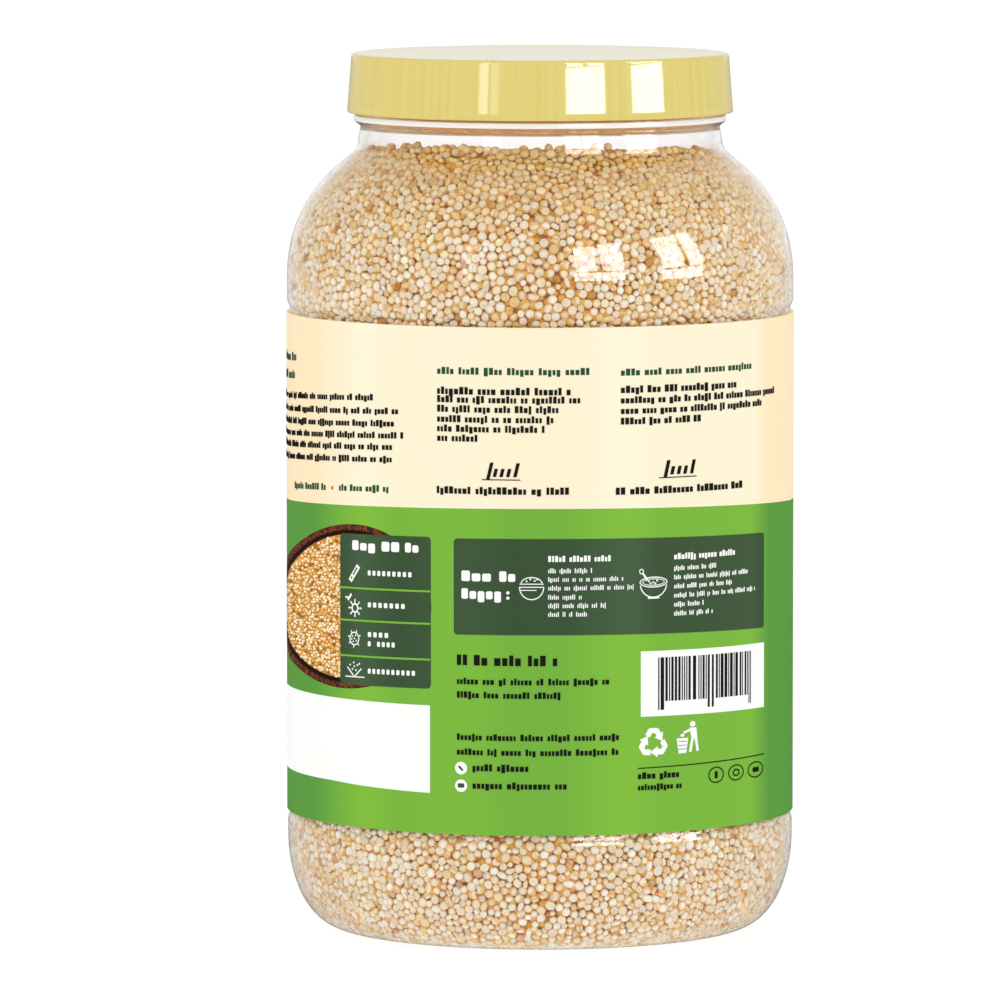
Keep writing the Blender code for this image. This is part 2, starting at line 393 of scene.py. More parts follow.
def lid_inside_material():
    """The lid's inside with its card liner, and a painted glow that stands for the light coming through the thin
    plastic.
    """
    m, tree, out = new_material("lid_inside")
    shader = node(tree, "ShaderNodeBsdfPrincipled")
    shader.inputs["Roughness"].default_value = 0.6
    where = node(tree, "ShaderNodeTexCoord")
    noise = node(tree, "ShaderNodeTexNoise")
    noise.inputs["Scale"].default_value = 420.0
    noise.inputs["Detail"].default_value = 3.0
    tree.links.new(where.outputs["Object"], noise.inputs["Vector"])
    # the emission is a painted glow, mottled like the liner
    for socket, dark, light in (("Base Color", linear(168, 116, 66), linear(214, 178, 124)),
                                ("Emission Color", (0.20, 0.115, 0.045), (0.50, 0.34, 0.18))):
        ramp = node(tree, "ShaderNodeValToRGB")
        ramp.color_ramp.elements[0].position, ramp.color_ramp.elements[1].position = 0.36, 0.64
        ramp.color_ramp.elements[0].color, ramp.color_ramp.elements[1].color = (*dark, 1), (*light, 1)
        tree.links.new(noise.outputs["Fac"], ramp.inputs["Fac"])
        tree.links.new(ramp.outputs["Color"], shader.inputs[socket])
    shader.inputs["Emission Strength"].default_value = 0.85
    tree.links.new(shader.outputs[0], out.inputs["Surface"])
    return m


PET = pet_material()
BEAD_HIGHLIGHT = bead_highlight_material()
YELLOW = lid_material()
LID_INSIDE_GLOW = lid_inside_material()



def mixed(a, b, share):
    return tuple(x * (1 - share) + y * share for x, y in zip(a, b))


def painted_light_round(side, mid, lit):
    """Painted light and shade round the jar: painted shade darkens the sides of the shown face, with soft upright bands
    of painted highlight between.
    """
    bands = [(-180, mid), (-110, mid), (-92, side), (-61, side), (-53, mixed(side, mid, 0.7)), (-44, lit), (-34, mid),
             (-24, mixed(mid, lit, 0.3)), (-15, mixed(mid, lit, 0.35)), (-7, mixed(mid, side, 0.16)), (5, mixed(mid, side, 0.16)),
             (13, mixed(mid, lit, 0.5)), (20, lit), (27, mixed(mid, lit, 0.2)), (46, mixed(mid, lit, 0.3)), (55, mixed(mid, lit, 0.6)),
             (63, side), (92, side), (110, mid), (180, mid)]
    return bands


# the cream, green and dark inks carry painted shade at the jar's sides and painted highlight bands
CREAM = print_material("label_cream", linear(254, 242, 211), painted_light_round(linear(254, 233, 194), linear(254, 242, 211), linear(255, 245, 215)))
GREEN = print_material("label_green", linear(121, 182, 64), painted_light_round(linear(93, 158, 64), linear(121, 182, 64), linear(130, 191, 62)))
DARK = print_material("ink_dark_green", linear(60, 85, 56), painted_light_round(linear(56, 80, 53), linear(60, 84, 56), linear(72, 97, 67)))
WHITE_INK = print_material("ink_white", linear(253, 253, 251))
BLACK_INK = print_material("ink_black", linear(26, 28, 24))
PINE_INK = print_material("ink_pine", linear(38, 84, 56))
LEAF_INK = print_material("ink_leaf", linear(122, 188, 62))
SPRIG_INK = print_material("ink_sprig", linear(164, 212, 108))
BROWN_INK = print_material("ink_brown", linear(70, 38, 28), streaks=linear(128, 62, 34))
SHADE_INK = print_material("ink_shade", linear(40, 22, 14))
BEIGE_INK = print_material("ink_beige", linear(196, 132, 58))
PALE_INK = print_material("ink_pale", linear(253, 233, 188))
GOLDEN_INK = print_material("ink_golden", linear(238, 190, 108))
TAN_INK = print_material("ink_tan", linear(158, 98, 40))
STREAK_INK = print_material("ink_wood", linear(150, 74, 38))
ORANGE_INK = print_material("ink_orange", linear(232, 92, 36))


# ------------------------------------------------------------------ the jar
def make_jar():
    outside = wall_path(1.5)
    lining = inset(outside, WALL)
    bore = FINISH_R - FINISH_WALL
    inner = list(reversed(lining))
    lined = NECK_TOP_R - WALL
    inner += [(lined - 0.00003, BEAD_Z - 0.0003), (lined - 0.0002, BEAD_Z + 0.0001), (bore + 0.00015, BEAD_Z + 0.0009),
              (bore, BEAD_Z + 0.0013), (bore, RIM_Z - 0.0004)]
    inner += [(bore + 0.0004 * (1 - cos(a)), RIM_Z - 0.0004 * (1 - sin(a))) for a in (0.5, 1.1, pi / 2)]
    finish = [(FINISH_R - 0.0004 * (1 - sin(a)), RIM_Z - 0.0004 * (1 - cos(a))) for a in (0.0, 0.5, 1.1, pi / 2)]
    for z in (0.1815, 0.1772):
        finish += [(FINISH_R, z + 0.0010), (0.03835, z + 0.00045), (0.0388, z + 0.00015),
                   (0.0388, z - 0.00015), (0.03835, z - 0.00045), (FINISH_R, z - 0.0010)]
    top = BEAD_Z + BEAD_HALF
    finish += [(FINISH_R, top + 0.0004), (FINISH_R + 0.00025, top + 0.0001)]
    # the transfer bead: flat on top, an upright nose and a slanted underside
    bead = [(BEAD_R - 0.0003, top), (BEAD_R - 0.0001, top - 0.00006), (BEAD_R, top - 0.0002), (BEAD_R, top - 0.00120),
            (BEAD_R - 0.00008, top - 0.00138), (BEAD_R - 0.00026, top - 0.00154), (NECK_TOP_R + 0.00022, top - 0.00226),
            (NECK_TOP_R + 0.00006, top - 0.00240)]
    verts, faces = turned(inner + finish + bead + outside, 144)
    centre = np.concatenate([verts[f].mean(1) for f in faces])
    # the nose faces get the painted highlight
    nose = (np.hypot(centre[:, 0], centre[:, 1]) > BEAD_R - 0.00025) & (centre[:, 2] > top - 0.00125) & (centre[:, 2] < top - 0.0001)
    return mesh_object("jar_shell", verts, faces, [PET, BEAD_HIGHLIGHT], sharp=50, slots=nose.astype(int))


jar = make_jar()
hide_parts("jar")
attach(jar, "root")


# ------------------------------------------------------------------ the lid
def make_lid():
    edge = 0.0007
    top = [(0.0, LID_TOP - 0.00012), (0.020, LID_TOP - 0.00012), (0.0355, LID_TOP - 0.00010), (0.0372, LID_TOP - 0.00003)]
    for i in range(9):
        a = pi / 2 * i / 8 * 0.96
        top.append((LID_TOP_R - edge * (1 - sin(a)), LID_TOP - edge * (1 - cos(a))))
    side = [(LID_TOP_R + (LID_R - LID_TOP_R) * i / 8, (LID_TOP - edge) + (LID_Z + 0.0004 - LID_TOP + edge) * i / 8)
            for i in range(1, 9)]
    foot = [(LID_R - 0.0004 * (1 - cos(a)), LID_Z + 0.0004 * (1 - sin(a))) for a in (0.4, 0.8, 1.2, pi / 2)]
    skirt = LID_R - 0.0013
    inside = [(skirt + 0.0002, LID_Z), (skirt, LID_Z + 0.0002)]
    # the inside of the skirt, with the two turns of the thread and the sealing ring under the plate
    for z in (0.1762, 0.1795):
        inside += [(skirt - 0.0001, z - 0.0007), (skirt - 0.00042, z - 0.0002), (skirt - 0.00042, z + 0.0002), (skirt - 0.0003, z + 0.0007)]
    inside += [(LID_TOP_R - 0.0013, LID_TOP - 0.0018), (LID_TOP_R - 0.0018, LID_TOP - 0.0013), (0.0360, LID_TOP - 0.0013),
               (0.0, LID_TOP - 0.0013)]
    verts, faces = turned(top + side + foot + inside, 192)
    centre = np.concatenate([verts[f].mean(1) for f in faces])
    radius = np.hypot(centre[:, 0], centre[:, 1])
    hidden = (centre[:, 2] < LID_TOP - 0.0008) & (radius < LID_TOP_R - 0.0010)
    return mesh_object("lid_cap", verts, faces, [YELLOW, LID_INSIDE_GLOW], sharp=40, slots=hidden.astype(int))


lid = make_lid()
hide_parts("lid")
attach(lid, "root")

# ------------------------------------------------------------------ the label
# Places on the label are millimetres: u round the jar from the middle of the shown face, v above the label's foot.
BOUNDARY = 67.8
HEIGHT = 1000 * (LABEL_TOP - LABEL_FOOT)
AROUND = 2 * pi * LABEL_R * 1000


def bow(angle):
    return 1 - np.cos(np.clip(np.abs(angle), 0, radians(80)))


def make_label():
    inner = PANEL_R - 0.00002
    split = LABEL_FOOT + BOUNDARY / 1000
    soft = 0.00008
    cream = [(inner + soft, LABEL_TOP), (LABEL_R - soft, LABEL_TOP), (LABEL_R, LABEL_TOP - soft), (LABEL_R, split + 0.018), (LABEL_R, split)]
    green = [(LABEL_R, split - 0.02), (LABEL_R, split - 0.045), (LABEL_R, LABEL_FOOT + soft), (LABEL_R - soft, LABEL_FOOT),
             (inner + soft, LABEL_FOOT), (inner, LABEL_FOOT + soft), (inner, LABEL_TOP - soft)]
    verts, faces = turned(cream + green, 288, closed=True)
    centre = verts[faces[0]].mean(1)
    radius = np.hypot(centre[:, 0], centre[:, 1])
    slots = np.where(centre[:, 2] > split, 0, 1)
    slots[radius < inner + soft / 2] = 2
    # the line between the two colours lies a little higher in front, as printed
    line = np.abs(verts[:, 2] - split) < 1e-7
    verts[line, 2] += (0.65 - 2.3 * bow(np.arctan2(verts[line, 0], -verts[line, 1]))) / 1000
    return mesh_object("label_sleeve", verts, faces, [CREAM, GREEN, WHITE_INK], sharp=40, slots=slots)


label = make_label()
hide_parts("label")
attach(label, "root")


# how far the rows being drawn lie higher in front and lower at the sides, in mm
BOWED = [0.0, 0.0]


class Print:
    """Thin shapes of one ink, each a closed plate that follows the label."""

    def __init__(self, lift=0.00004, warp=None):
        self.verts, self.quads, self.count, self.lift, self.warp = [], [], 0, lift, warp

    def place(self, u, v):
        u, v = np.asarray(u, float), np.asarray(v, float)
        if self.warp:
            u, v = self.warp(u, v)
        angle = u / 1000 / LABEL_R
        if not self.warp:
            v = v + BOWED[0] + BOWED[1] * bow(angle)
        z = LABEL_FOOT + v / 1000
        return [np.stack([r * np.sin(angle), -r * np.cos(angle), z], -1) for r in (LABEL_R + self.lift, LABEL_R - 0.00005)]

    def columns(self, u, low, high):
        """A shape between two curves over a list of places u."""
        u, low, high = (np.asarray(a, float) for a in (u, low, high))
        n = len(u)
        outer_low, inner_low = self.place(u, low)
        outer_high, inner_high = self.place(u, high)
        base = self.count
        self.verts += [outer_low, outer_high, inner_low, inner_high]
        ol, oh, il, ih = (base + k * n + np.arange(n) for k in range(4))
        a, b = slice(0, n - 1), slice(1, n)
        self.quads += [np.stack([ol[a], ol[b], oh[b], oh[a]], 1), np.stack([il[a], ih[a], ih[b], il[b]], 1),
                       np.stack([ol[a], il[a], il[b], ol[b]], 1), np.stack([oh[a], oh[b], ih[b], ih[a]], 1),
                       np.array([[ol[0], oh[0], ih[0], il[0]], [ol[-1], il[-1], ih[-1], oh[-1]]])]
        self.count += 4 * n

    def rect(self, u0, v0, u1, v1, corner=0.0):
        corner = min(corner, (u1 - u0) / 2 - 0.02, (v1 - v0) / 2 - 0.02)
        if corner <= 0.03:
            u = np.linspace(u0, u1, max(2, int((u1 - u0) / 1.3) + 2) if u1 - u0 > 1.3 else 2)
            self.columns(u, np.full(len(u), v0), np.full(len(u), v1))
            return
        turn = np.linspace(0, pi / 2, 4 if corner < 0.6 else 7)
        rise = corner * (1 - np.sin(turn))
        left = u0 + corner * (1 - np.cos(turn))
        mid = np.linspace(u0 + corner, u1 - corner, max(2, int((u1 - u0 - 2 * corner) / 1.3) + 2))[1:-1]
        u = np.concatenate([left, mid, u0 + u1 - left[::-1]])
        inset_ = np.concatenate([rise, np.zeros(len(mid)), rise[::-1]])
        keep = np.concatenate([[True], np.diff(u) > 1e-4])
        self.columns(u[keep], (v0 + inset_)[keep], (v1 - inset_)[keep])

    def disc(self, u, v, ru, rv=None, steps=14):
        rv = rv or ru
        t = np.linspace(0.10, pi - 0.10, steps)
        self.columns(u - ru * np.cos(t), v - rv * np.sin(t), v + rv * np.sin(t))

    def dot(self, u, v, ru, rv=None):
        rv = rv or ru
        t = np.array([0.38, 1.15, pi - 1.15, pi - 0.38])
        self.columns(u - ru * np.cos(t), v - rv * np.sin(t), v + rv * np.sin(t))

    def ring(self, u, v, ru, width, rv=None, steps=26, start=0.0, end=2 * pi):
        """An oval ring, or a part of one."""
        rv = rv or ru
        t = np.linspace(start, end, steps + 1)
        nodes = []
        for grow in (0.0, -width):
            nodes += self.place(u + (ru + grow) * np.cos(t), v + (rv + grow) * np.sin(t))
        n = steps + 1
        base = self.count
        self.verts += nodes
        a0, b0, c0, d0 = (base + k * n + np.arange(n) for k in range(4))
        a, b = slice(0, n - 1), slice(1, n)
        self.quads += [np.stack([c0[a], a0[a], a0[b], c0[b]], 1), np.stack([b0[a], d0[a], d0[b], b0[b]], 1),
                       np.stack([a0[a], b0[a], b0[b], a0[b]], 1), np.stack([d0[a], c0[a], c0[b], d0[b]], 1)]
        if end - start < 2 * pi - 1e-6:
            self.quads.append(np.array([[a0[0], c0[0], d0[0], b0[0]], [a0[-1], b0[-1], d0[-1], c0[-1]]]))
        self.count += 4 * n

    def four(self, points):
        """A small four-sided shape from its corners, counter-clockwise as seen on the label."""
        u, v = np.array(points, float).T
        outer, inner = self.place(u, v)
        base = self.count
        self.verts += [outer, inner]
        o, i = base + np.arange(4), base + 4 + np.arange(4)
        sides = np.stack([o, i, np.roll(i, -1), np.roll(o, -1)], 1)
        self.quads += [o[None], i[::-1][None], sides]
        self.count += 8

    def line(self, u0, v0, u1, v1, width):
        du, dv = u1 - u0, v1 - v0
        size = hypot(du, dv)
        a, b = -dv / size * width / 2, du / size * width / 2
        parts = max(1, int(abs(du) / 2.0))
        for k in range(parts):
            p, q = k / parts, (k + 1) / parts
            x0, y0, x1, y1 = u0 + du * p, v0 + dv * p, u0 + du * q, v0 + dv * q
            self.four([(x0 - a, y0 - b), (x1 - a, y1 - b), (x1 + a, y1 + b), (x0 + a, y0 + b)])

    def words(self, u0, u1, v, height, rng, fat=0.62, word=(2, 8), gap=0.8):
        """A line of greeked text: rows of small plain blocks in word-long groups. v is the middle of the line."""
        u = u0
        while u < u1 - fat * height:
            for _ in range(int(rng.integers(*word))):
                wide = height * fat * rng.uniform(0.75, 1.25)
                if u + wide > u1:
                    break
                tall = height * (1.0 if rng.random() < 0.66 else 1.36)
                drop = height * (0.30 if rng.random() < 0.10 else 0.0)
                self.columns([u, u + wide], [v - height / 2 - drop] * 2, [v - height / 2 + tall] * 2)
                u += wide + height * 0.24
            u += height * gap

    def build(self, name, material):
        made = mesh_object(name, np.concatenate(self.verts), np.concatenate(self.quads), material, sharp=30)
        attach(made, "root")
        return made


def picture_place(u, v):
    """Places in the flat picture of the bowl (u, v from its middle), laid round the jar as the print shows it."""
    radius, middle_u, middle_v, look = LABEL_R * 1000, -40.1, 46.4, radians(4.91)
    x = middle_u + u
    edge = 0.985 * radius
    inside = np.maximum(x, -edge)
    slope = 3.2
    around_ = radius * np.arcsin(inside / radius) + np.minimum(x + edge, 0) * slope
    depth = np.sqrt(radius ** 2 - inside ** 2) - sqrt(radius ** 2 - middle_u ** 2)
    return around_, middle_v + (v + depth * sin(look)) / cos(look)


def bowl_picture(inks, reach, rng, keep, warp, centre=(0.0, 0.0), squash=1.0):
    """A round wooden bowl heaped with grain, as printed: reach is its radius in millimetres."""
    brown, streak, shade, beige, pale, tan, golden = inks
    cu, cv = centre
    # round the jar's side the rings are drawn out, so there they are made of narrower ones that follow its curve
    for ink, middle, wide, parts in ((brown, 1.0, 0.075, 4), (shade, 0.93, 0.05, 2)):
        parts = parts if warp else 1
        for k in range(parts):
            r = reach * (middle - wide * k / parts)
            ink.ring(cu, cv, r, reach * wide / parts, r * squash, steps=160 if warp else 120)
    for a in np.arange(0, 2 * pi, 0.060):
        a = a + rng.uniform(-0.02, 0.02)
        r0, r1 = reach * rng.uniform(0.935, 0.955), reach * rng.uniform(0.965, 0.99)
        lean = rng.uniform(0.0, 0.05)
        half = rng.uniform(0.07, 0.17) / reach
        corners = [(r0, a - half), (r1, a + lean - half), (r1, a + lean + half), (r0, a + half)]
        streak.four([(cu + r * cos(t), cv + r * sin(t) * squash) for r, t in corners])
    t = np.linspace(0.05, pi - 0.05, 110)
    inner = reach * 0.885
    beige.columns(cu - inner * np.cos(t), cv - inner * squash * np.sin(t), cv + inner * squash * np.sin(t))
    pitch = reach * 0.0415
    row = 0
    y = -inner
    while y < inner:
        x = -inner + (pitch / 2 if row % 2 else 0)
        while x < inner:
            px, py = x + rng.uniform(-0.3, 0.3) * pitch, y + rng.uniform(-0.3, 0.3) * pitch
            if hypot(px, py) < inner - pitch * 0.35 and keep(px):
                r = pitch * rng.uniform(0.34, 0.47)
                ink = rng.choice(np.array([pale, golden, tan], dtype=object), p=[0.56, 0.34, 0.10])
                ink.dot(cu + px, cv + py * squash, r * rng.uniform(0.9, 1.1), r * squash)
            x += pitch
        y += pitch * 0.86
        row += 1


def make_print():
    rng = np.random.default_rng(77)
    dark, leaf, white, black, pine = Print(), Print(0.00009), Print(0.00009), Print(0.00008), Print()
    white_over, dark_over = Print(0.00013), Print(0.00013)
    paper, orange = Print(), Print()
    brown, streak, shade = Print(0.00002, picture_place), Print(0.000035, picture_place), Print(0.00003, picture_place)
    beige, pale, tan = Print(0.00002, picture_place), Print(0.000035, picture_place), Print(0.000035, picture_place)
    golden = Print(0.000035, picture_place)
    bowl_picture((brown, streak, shade, beige, pale, tan, golden), 17.25, rng, lambda x: x < -0.6, picture_place)

    # dark panels with their dividing lines
    BOWED[:] = 0.46, -2.05
    dark.rect(-18.5, 41.6, 57.1, 61.7, 0.8)
    BOWED[:] = 0.32, -1.7
    dark.rect(-48.2, 30.2, -23.7, 62.0, 0.9)
    for v in (50.6, 43.8, 36.3):
        leaf.rect(-48.1, v - 0.20, -23.8, v + 0.20)
    # heading and rows of the left panel
    for u0, pitch, wide, heights in ((-44.2, 2.36, 1.90, (2.05, 1.55, 1.55)), (-35.8, 2.50, 2.05, (2.05, 2.05)), (-29.8, 1.78, 1.45, (2.05, 1.55))):
        for k, tall in enumerate(heights):
            white.rect(u0 + pitch * k, 58.6 - (0.5 if len(heights) == 3 and k == 2 else 0), u0 + pitch * k + wide, 58.6 + tall, 0.4)
    for v, w, letters in ((53.95, 11.9, 9), (47.25, 10.3, 7), (41.0, 6.1, 4), (39.05, 7.7, 6), (33.3, 12.7, 10)):
        step = w / letters
        for k in range(letters):
            if letters == 6 and k == 1:
                continue
            white.rect(-39.6 + step * k, v - 0.52, -39.6 + step * k + step * 0.60, v + 0.52, 0.2)
    # plain signs beside them
    white.line(-44.9, 52.1, -42.3, 55.3, 1.15)
    dark_over.line(-43.9, 53.4, -42.7, 54.9, 0.34)
    dark_over.dot(-44.4, 52.75, 0.24)
    white.ring(-43.4, 46.4, 1.05, 0.34, steps=16)
    for k in range(8):
        a = 2 * pi * k / 8
        white.line(-43.4 + 1.0 * cos(a), 46.4 + 1.0 * sin(a), -43.4 + 1.72 * cos(a), 46.4 + 1.62 * sin(a), 0.26)
        white.dot(-43.4 + 1.78 * cos(a), 46.4 + 1.70 * sin(a), 0.22)
    white.line(-45.6, 48.0, -44.5, 49.3, 0.50)
    white.line(-46.4, 48.6, -45.0, 48.5, 0.36)
    white.ring(-43.6, 39.95, 1.50, 0.26, 1.45, steps=20)
    for x, y in ((-0.6, 0.5), (0.4, 0.7), (0.6, -0.4), (-0.35, -0.65), (0.0, 0.05), (-0.85, -0.1)):
        white.dot(-43.6 + x, 39.95 + y, 0.20)
    for a in (0.4, 1.2, 2.1, 2.9, 3.7, 4.6, 5.5):
        white.line(-43.6 + 1.5 * cos(a), 39.95 + 1.45 * sin(a), -43.6 + 2.0 * cos(a), 39.95 + 1.95 * sin(a), 0.22)
    white.line(-46.4, 31.9, -40.6, 31.9, 0.24)
    white.line(-45.8, 33.9, -43.8, 32.1, 0.28)
    white.line(-43.4, 32.1, -41.5, 33.7, 0.28)
    for x, y in ((-44.9, 34.4), (-43.8, 34.9), (-42.7, 34.4), (-44.2, 33.5), (-43.1, 33.3), (-43.6, 34.1), (-42.1, 34.7)):
        white.dot(x, y, 0.22)
    # right panel: heading, then two blocks of lines, each with a bowl sign
    BOWED[:] = 0.0, 0.0
    for u0, pitch, wide, heights in ((-16.8, 2.24, 1.85, (2.2, 1.65, 1.65)), (-8.7, 1.84, 1.5, (2.2, 1.65))):
        for k, tall in enumerate(heights):
            white.rect(u0 + pitch * k, 53.2, u0 + pitch * k + wide, 53.2 + tall, 0.35)
    for k in range(5):
        white.rect(-16.8 + 1.76 * k, 49.5 - (0.65 if k in (2, 4) else 0), -16.8 + 1.76 * k + 1.42, 51.7 if not k else 51.15, 0.35)
    white.dot(-6.9, 49.8, 0.36)
    white.dot(-6.9, 50.9, 0.36)
    # heaped bowl
    white.ring(-1.95, 52.1, 2.62, 0.22, 2.70, steps=20, start=pi, end=2 * pi)
    white.line(-4.55, 52.1, 0.65, 52.1, 0.20)
    white.line(-4.45, 52.75, 0.55, 52.75, 0.20)
    white.line(-4.2, 51.45, -0.9, 51.45, 0.18)
    white.ring(-1.95, 52.8, 2.30, 0.22, 1.45, steps=14, start=0.1, end=pi - 0.1)
    for x, y in ((-3.0, 53.35), (-2.2, 53.75), (-1.3, 53.45), (-0.8, 53.75)):
        white.dot(x, y, 0.20)
    # bowl with a spoon
    BOWED[:] = 0.1, 0.0
    white.ring(24.3, 52.6, 3.25, 0.24, 1.15, steps=26)
    white.ring(24.3, 52.6, 2.60, 0.16, 0.74, steps=22)
    white.ring(24.3, 52.3, 3.20, 0.24, 3.0, steps=20, start=pi + 0.12, end=2 * pi - 0.12)
    white.line(23.0, 49.35, 25.6, 49.35, 0.45)
    white.ring(21.5, 54.9, 0.52, 0.2, 0.60, steps=12)
    white.line(21.8, 54.5, 22.9, 53.0, 0.42)
    for x, y in ((23.2, 52.8), (24.2, 52.55), (25.1, 52.9), (24.7, 52.3), (23.6, 52.35)):
        white.dot(x, y, 0.22)
    # lines of both blocks
    white.words(1.5, 14.9, 57.75, 0.92, rng, 0.56, (5, 8), 0.75)
    for v, end in ((55.3, 11.0), (53.5, 17.6), (51.7, 19.9), (49.8, 8.7), (48.0, 13.9), (46.2, 9.6)):
        white.words(1.5, end, v, 0.74, rng, 0.31, (2, 8), 0.85)
    white.words(29.2, 47.6, 57.6, 0.92, rng, 0.66, (5, 8), 0.75)
    for v, end in ((55.2, 40.4), (53.3, 50.8), (51.4, 45.5), (49.5, 53.4), (47.6, 37.1), (45.7, 39.4)):
        white.words(29.2, end, v, 0.74, rng, 0.38, (2, 8), 0.85)

    # blank white fields, the second with bars
    BOWED[:] = 0.0, 0.0
    wide_u = np.linspace(-92.0, -23.9, 56)
    paper.columns(wide_u, 8.25 + 2.4 * np.minimum(bow(wide_u / 53.95), 0.42), np.full(56, 26.84))
    BOWED[:] = 0.33, -0.85
    paper.rect(21.4, 24.3, 57.2, 38.0)
    u, bars = 25.4, []
    while u < 52.0:
        wide = rng.choice((0.287, 0.287, 0.574, 0.861))
        if u + wide > 52.2:
            break
        bars.append((u, wide))
        u += wide + rng.choice((0.287, 0.287, 0.287, 0.574))
    for k, (start, wide) in enumerate(bars):
        foot = 25.6 if k in (0, 1, len(bars) // 2, len(bars) // 2 + 1, len(bars) - 2, len(bars) - 1) else 27.4
        black.rect(start, foot, start + wide * 0.96, 36.6)

    # cream field: headings and lines
    BOWED[:] = 1.2, -3.0
    for v, end in ((98.2, -67.4), (94.4, -68.6)):
        pine.words(-86.0, end, v, 1.30, rng, 0.80, (3, 8), 0.7)
    for v, end in ((90.1, -37.6), (87.3, -30.6), (84.7, -32.6), (82.2, -29.6), (79.8, -32.4), (77.2, -32.2)):
        black.words(-88.0, end, v, 0.98, rng, 0.66, (2, 8), 0.8)
    pine.words(-70.0, -53.5, 71.0, 1.02, rng, 0.80, (5, 7), 0.8)
    orange.dot(-51.0, 71.0, 0.42)
    pine.words(-48.6, -33.8, 71.0, 1.02, rng, 0.70, (3, 7), 0.8)
    BOWED[:] = -0.05, 0.0
    pine.words(-22.2, 10.6, 96.9, 1.08, rng, 0.66, (4, 8), 0.8)
    black.words(-22.2, 7.2, 92.75, 1.14, rng, 0.64, (3, 9), 0.7)
    for v, end in ((91.0, 9.4), (89.0, 4.4), (86.9, 2.9), (84.9, 1.4), (82.9, -13.2)):
        black.words(-22.2, end, v, 1.06, rng, 0.58, (2, 9), 0.7)
    BOWED[:] = -0.45, 0.0
    pine.words(16.9, 53.4, 97.0, 1.06, rng, 0.74, (4, 9), 0.8)
    black.words(16.9, 47.0, 93.4, 1.10, rng, 0.70, (3, 8), 0.7)
    for v, end in ((91.2, 62.0), (89.0, 57.0), (86.8, 36.0)):
        black.words(16.9, end, v, 1.04, rng, 0.66, (2, 9), 0.7)
    BOWED[:] = -0.05, 0.0
    # plain marks over the last lines
    for mu, wide in ((-8.2, 1.0), (30.4, 1.15)):
        black.line(mu - 4.2 * wide, 74.5, mu + 3.9 * wide, 74.5, 0.20)
        for x, foot, tall in ((-3.3, 74.5, 3.6), (-1.9, 75.1, 1.7), (-0.5, 75.1, 1.7), (0.9, 75.1, 1.7), (2.4, 75.1, 2.9)):
            x, lean, thick = x * wide, 0.24 * tall, 0.72 * wide
            black.four([(mu + x, foot), (mu + x + thick, foot), (mu + x + thick + lean, foot + tall), (mu + x + lean, foot + tall)])
    black.words(-22.3, 6.2, 72.0, 1.10, rng, 0.66, (2, 12), 0.8)
    black.words(15.8, 49.6, 71.8, 1.10, rng, 0.78, (2, 12), 0.8)

    # green field: headings, lines and plain signs
    BOWED[:] = 0.0, 0.0
    black.words(-17.8, 3.8, 36.4, 1.60, rng, 0.66, (2, 6), 0.7)
    for v, end in ((32.1, 14.8), (29.25, 5.6)):
        black.words(-17.8, end, v, 0.98, rng, 0.60, (2, 8), 0.85)
    for v, end in ((20.4, 16.8), (17.3, 16.4)):
        black.words(-17.8, end, v, 0.98, rng, 0.60, (3, 9), 0.8)
    for v, end in ((14.0, -2.6), (10.3, 6.2)):
        white.disc(-16.9, v, 1.32)
        black.words(-14.4, end, v, 1.05, rng, 0.66, (4, 12), 0.8)
    dark_over.line(-17.4, 14.4, -16.5, 13.5, 0.42)
    dark_over.rect(-17.6, 9.9, -16.2, 10.8, 0.15)
    # three bent arrows that follow one another, and a figure beside a basket
    corner = [(24.3 + 4.0 * cos(pi / 2 + 2 * pi * k / 3), 18.95 + 3.75 * sin(pi / 2 + 2 * pi * k / 3)) for k in range(3)]
    toward = lambda k, j, share: (corner[k][0] + (corner[j][0] - corner[k][0]) * share, corner[k][1] + (corner[j][1] - corner[k][1]) * share)
    for k in range(3):
        before, after = (k + 1) % 3, (k + 2) % 3
        start, first, second, neck, tip = (toward(k, before, 0.40), toward(k, before, 0.20), toward(k, after, 0.20), toward(k, after, 0.36),
                                           toward(k, after, 0.60))
        white.line(*start, *first, 1.20)
        white.line(*first, *second, 1.05)
        white.line(*second, *neck, 1.20)
        white.dot(*first, 0.58)
        white.dot(*second, 0.58)
        du, dv = tip[0] - neck[0], tip[1] - neck[1]
        size = hypot(du, dv)
        side_u, side_v = -dv / size * 1.15, du / size * 1.15
        white.four([(neck[0] - side_u, neck[1] - side_v), (tip[0] - side_u * 0.04, tip[1] - side_v * 0.04),
                    (tip[0] + side_u * 0.04, tip[1] + side_v * 0.04), (neck[0] + side_u, neck[1] + side_v)])
    white.disc(33.95, 22.45, 0.72, 0.60, steps=8)
    white.four([(33.7, 19.2), (35.2, 19.2), (34.9, 21.7), (33.2, 21.7)])
    white.line(33.9, 19.4, 33.3, 16.6, 0.62)
    white.line(34.8, 19.4, 35.3, 16.7, 0.62)
    white.line(33.4, 21.3, 31.6, 20.7, 0.50)
    white.four([(30.4, 16.4), (32.3, 16.5), (32.8, 19.6), (29.9, 19.6)])
    white.dot(31.3, 20.2, 0.5, 0.35)
    for v in (17.3, 18.1, 18.9):
        dark_over.line(30.3, v, 32.5, v, 0.10)
    black.line(20.8, 13.75, 57.4, 14.25, 0.20)
    black.words(20.8, 32.2, 12.0, 1.00, rng, 0.74, (4, 6), 0.8)
    black.words(20.8, 31.8, 9.6, 0.90, rng, 0.66, (8, 12), 0.7)
    for u, wide in ((40.5, 2.25), (46.7, 2.55), (53.8, 3.1)):
        black.ring(u, 11.25, wide, 0.24, 1.72, steps=26)
    black.rect(40.1, 10.5, 40.9, 12.0, 0.2)
    black.ring(46.7, 11.25, 1.15, 0.30, 0.80, steps=12)
    black.rect(52.6, 10.75, 55.0, 11.75, 0.3)

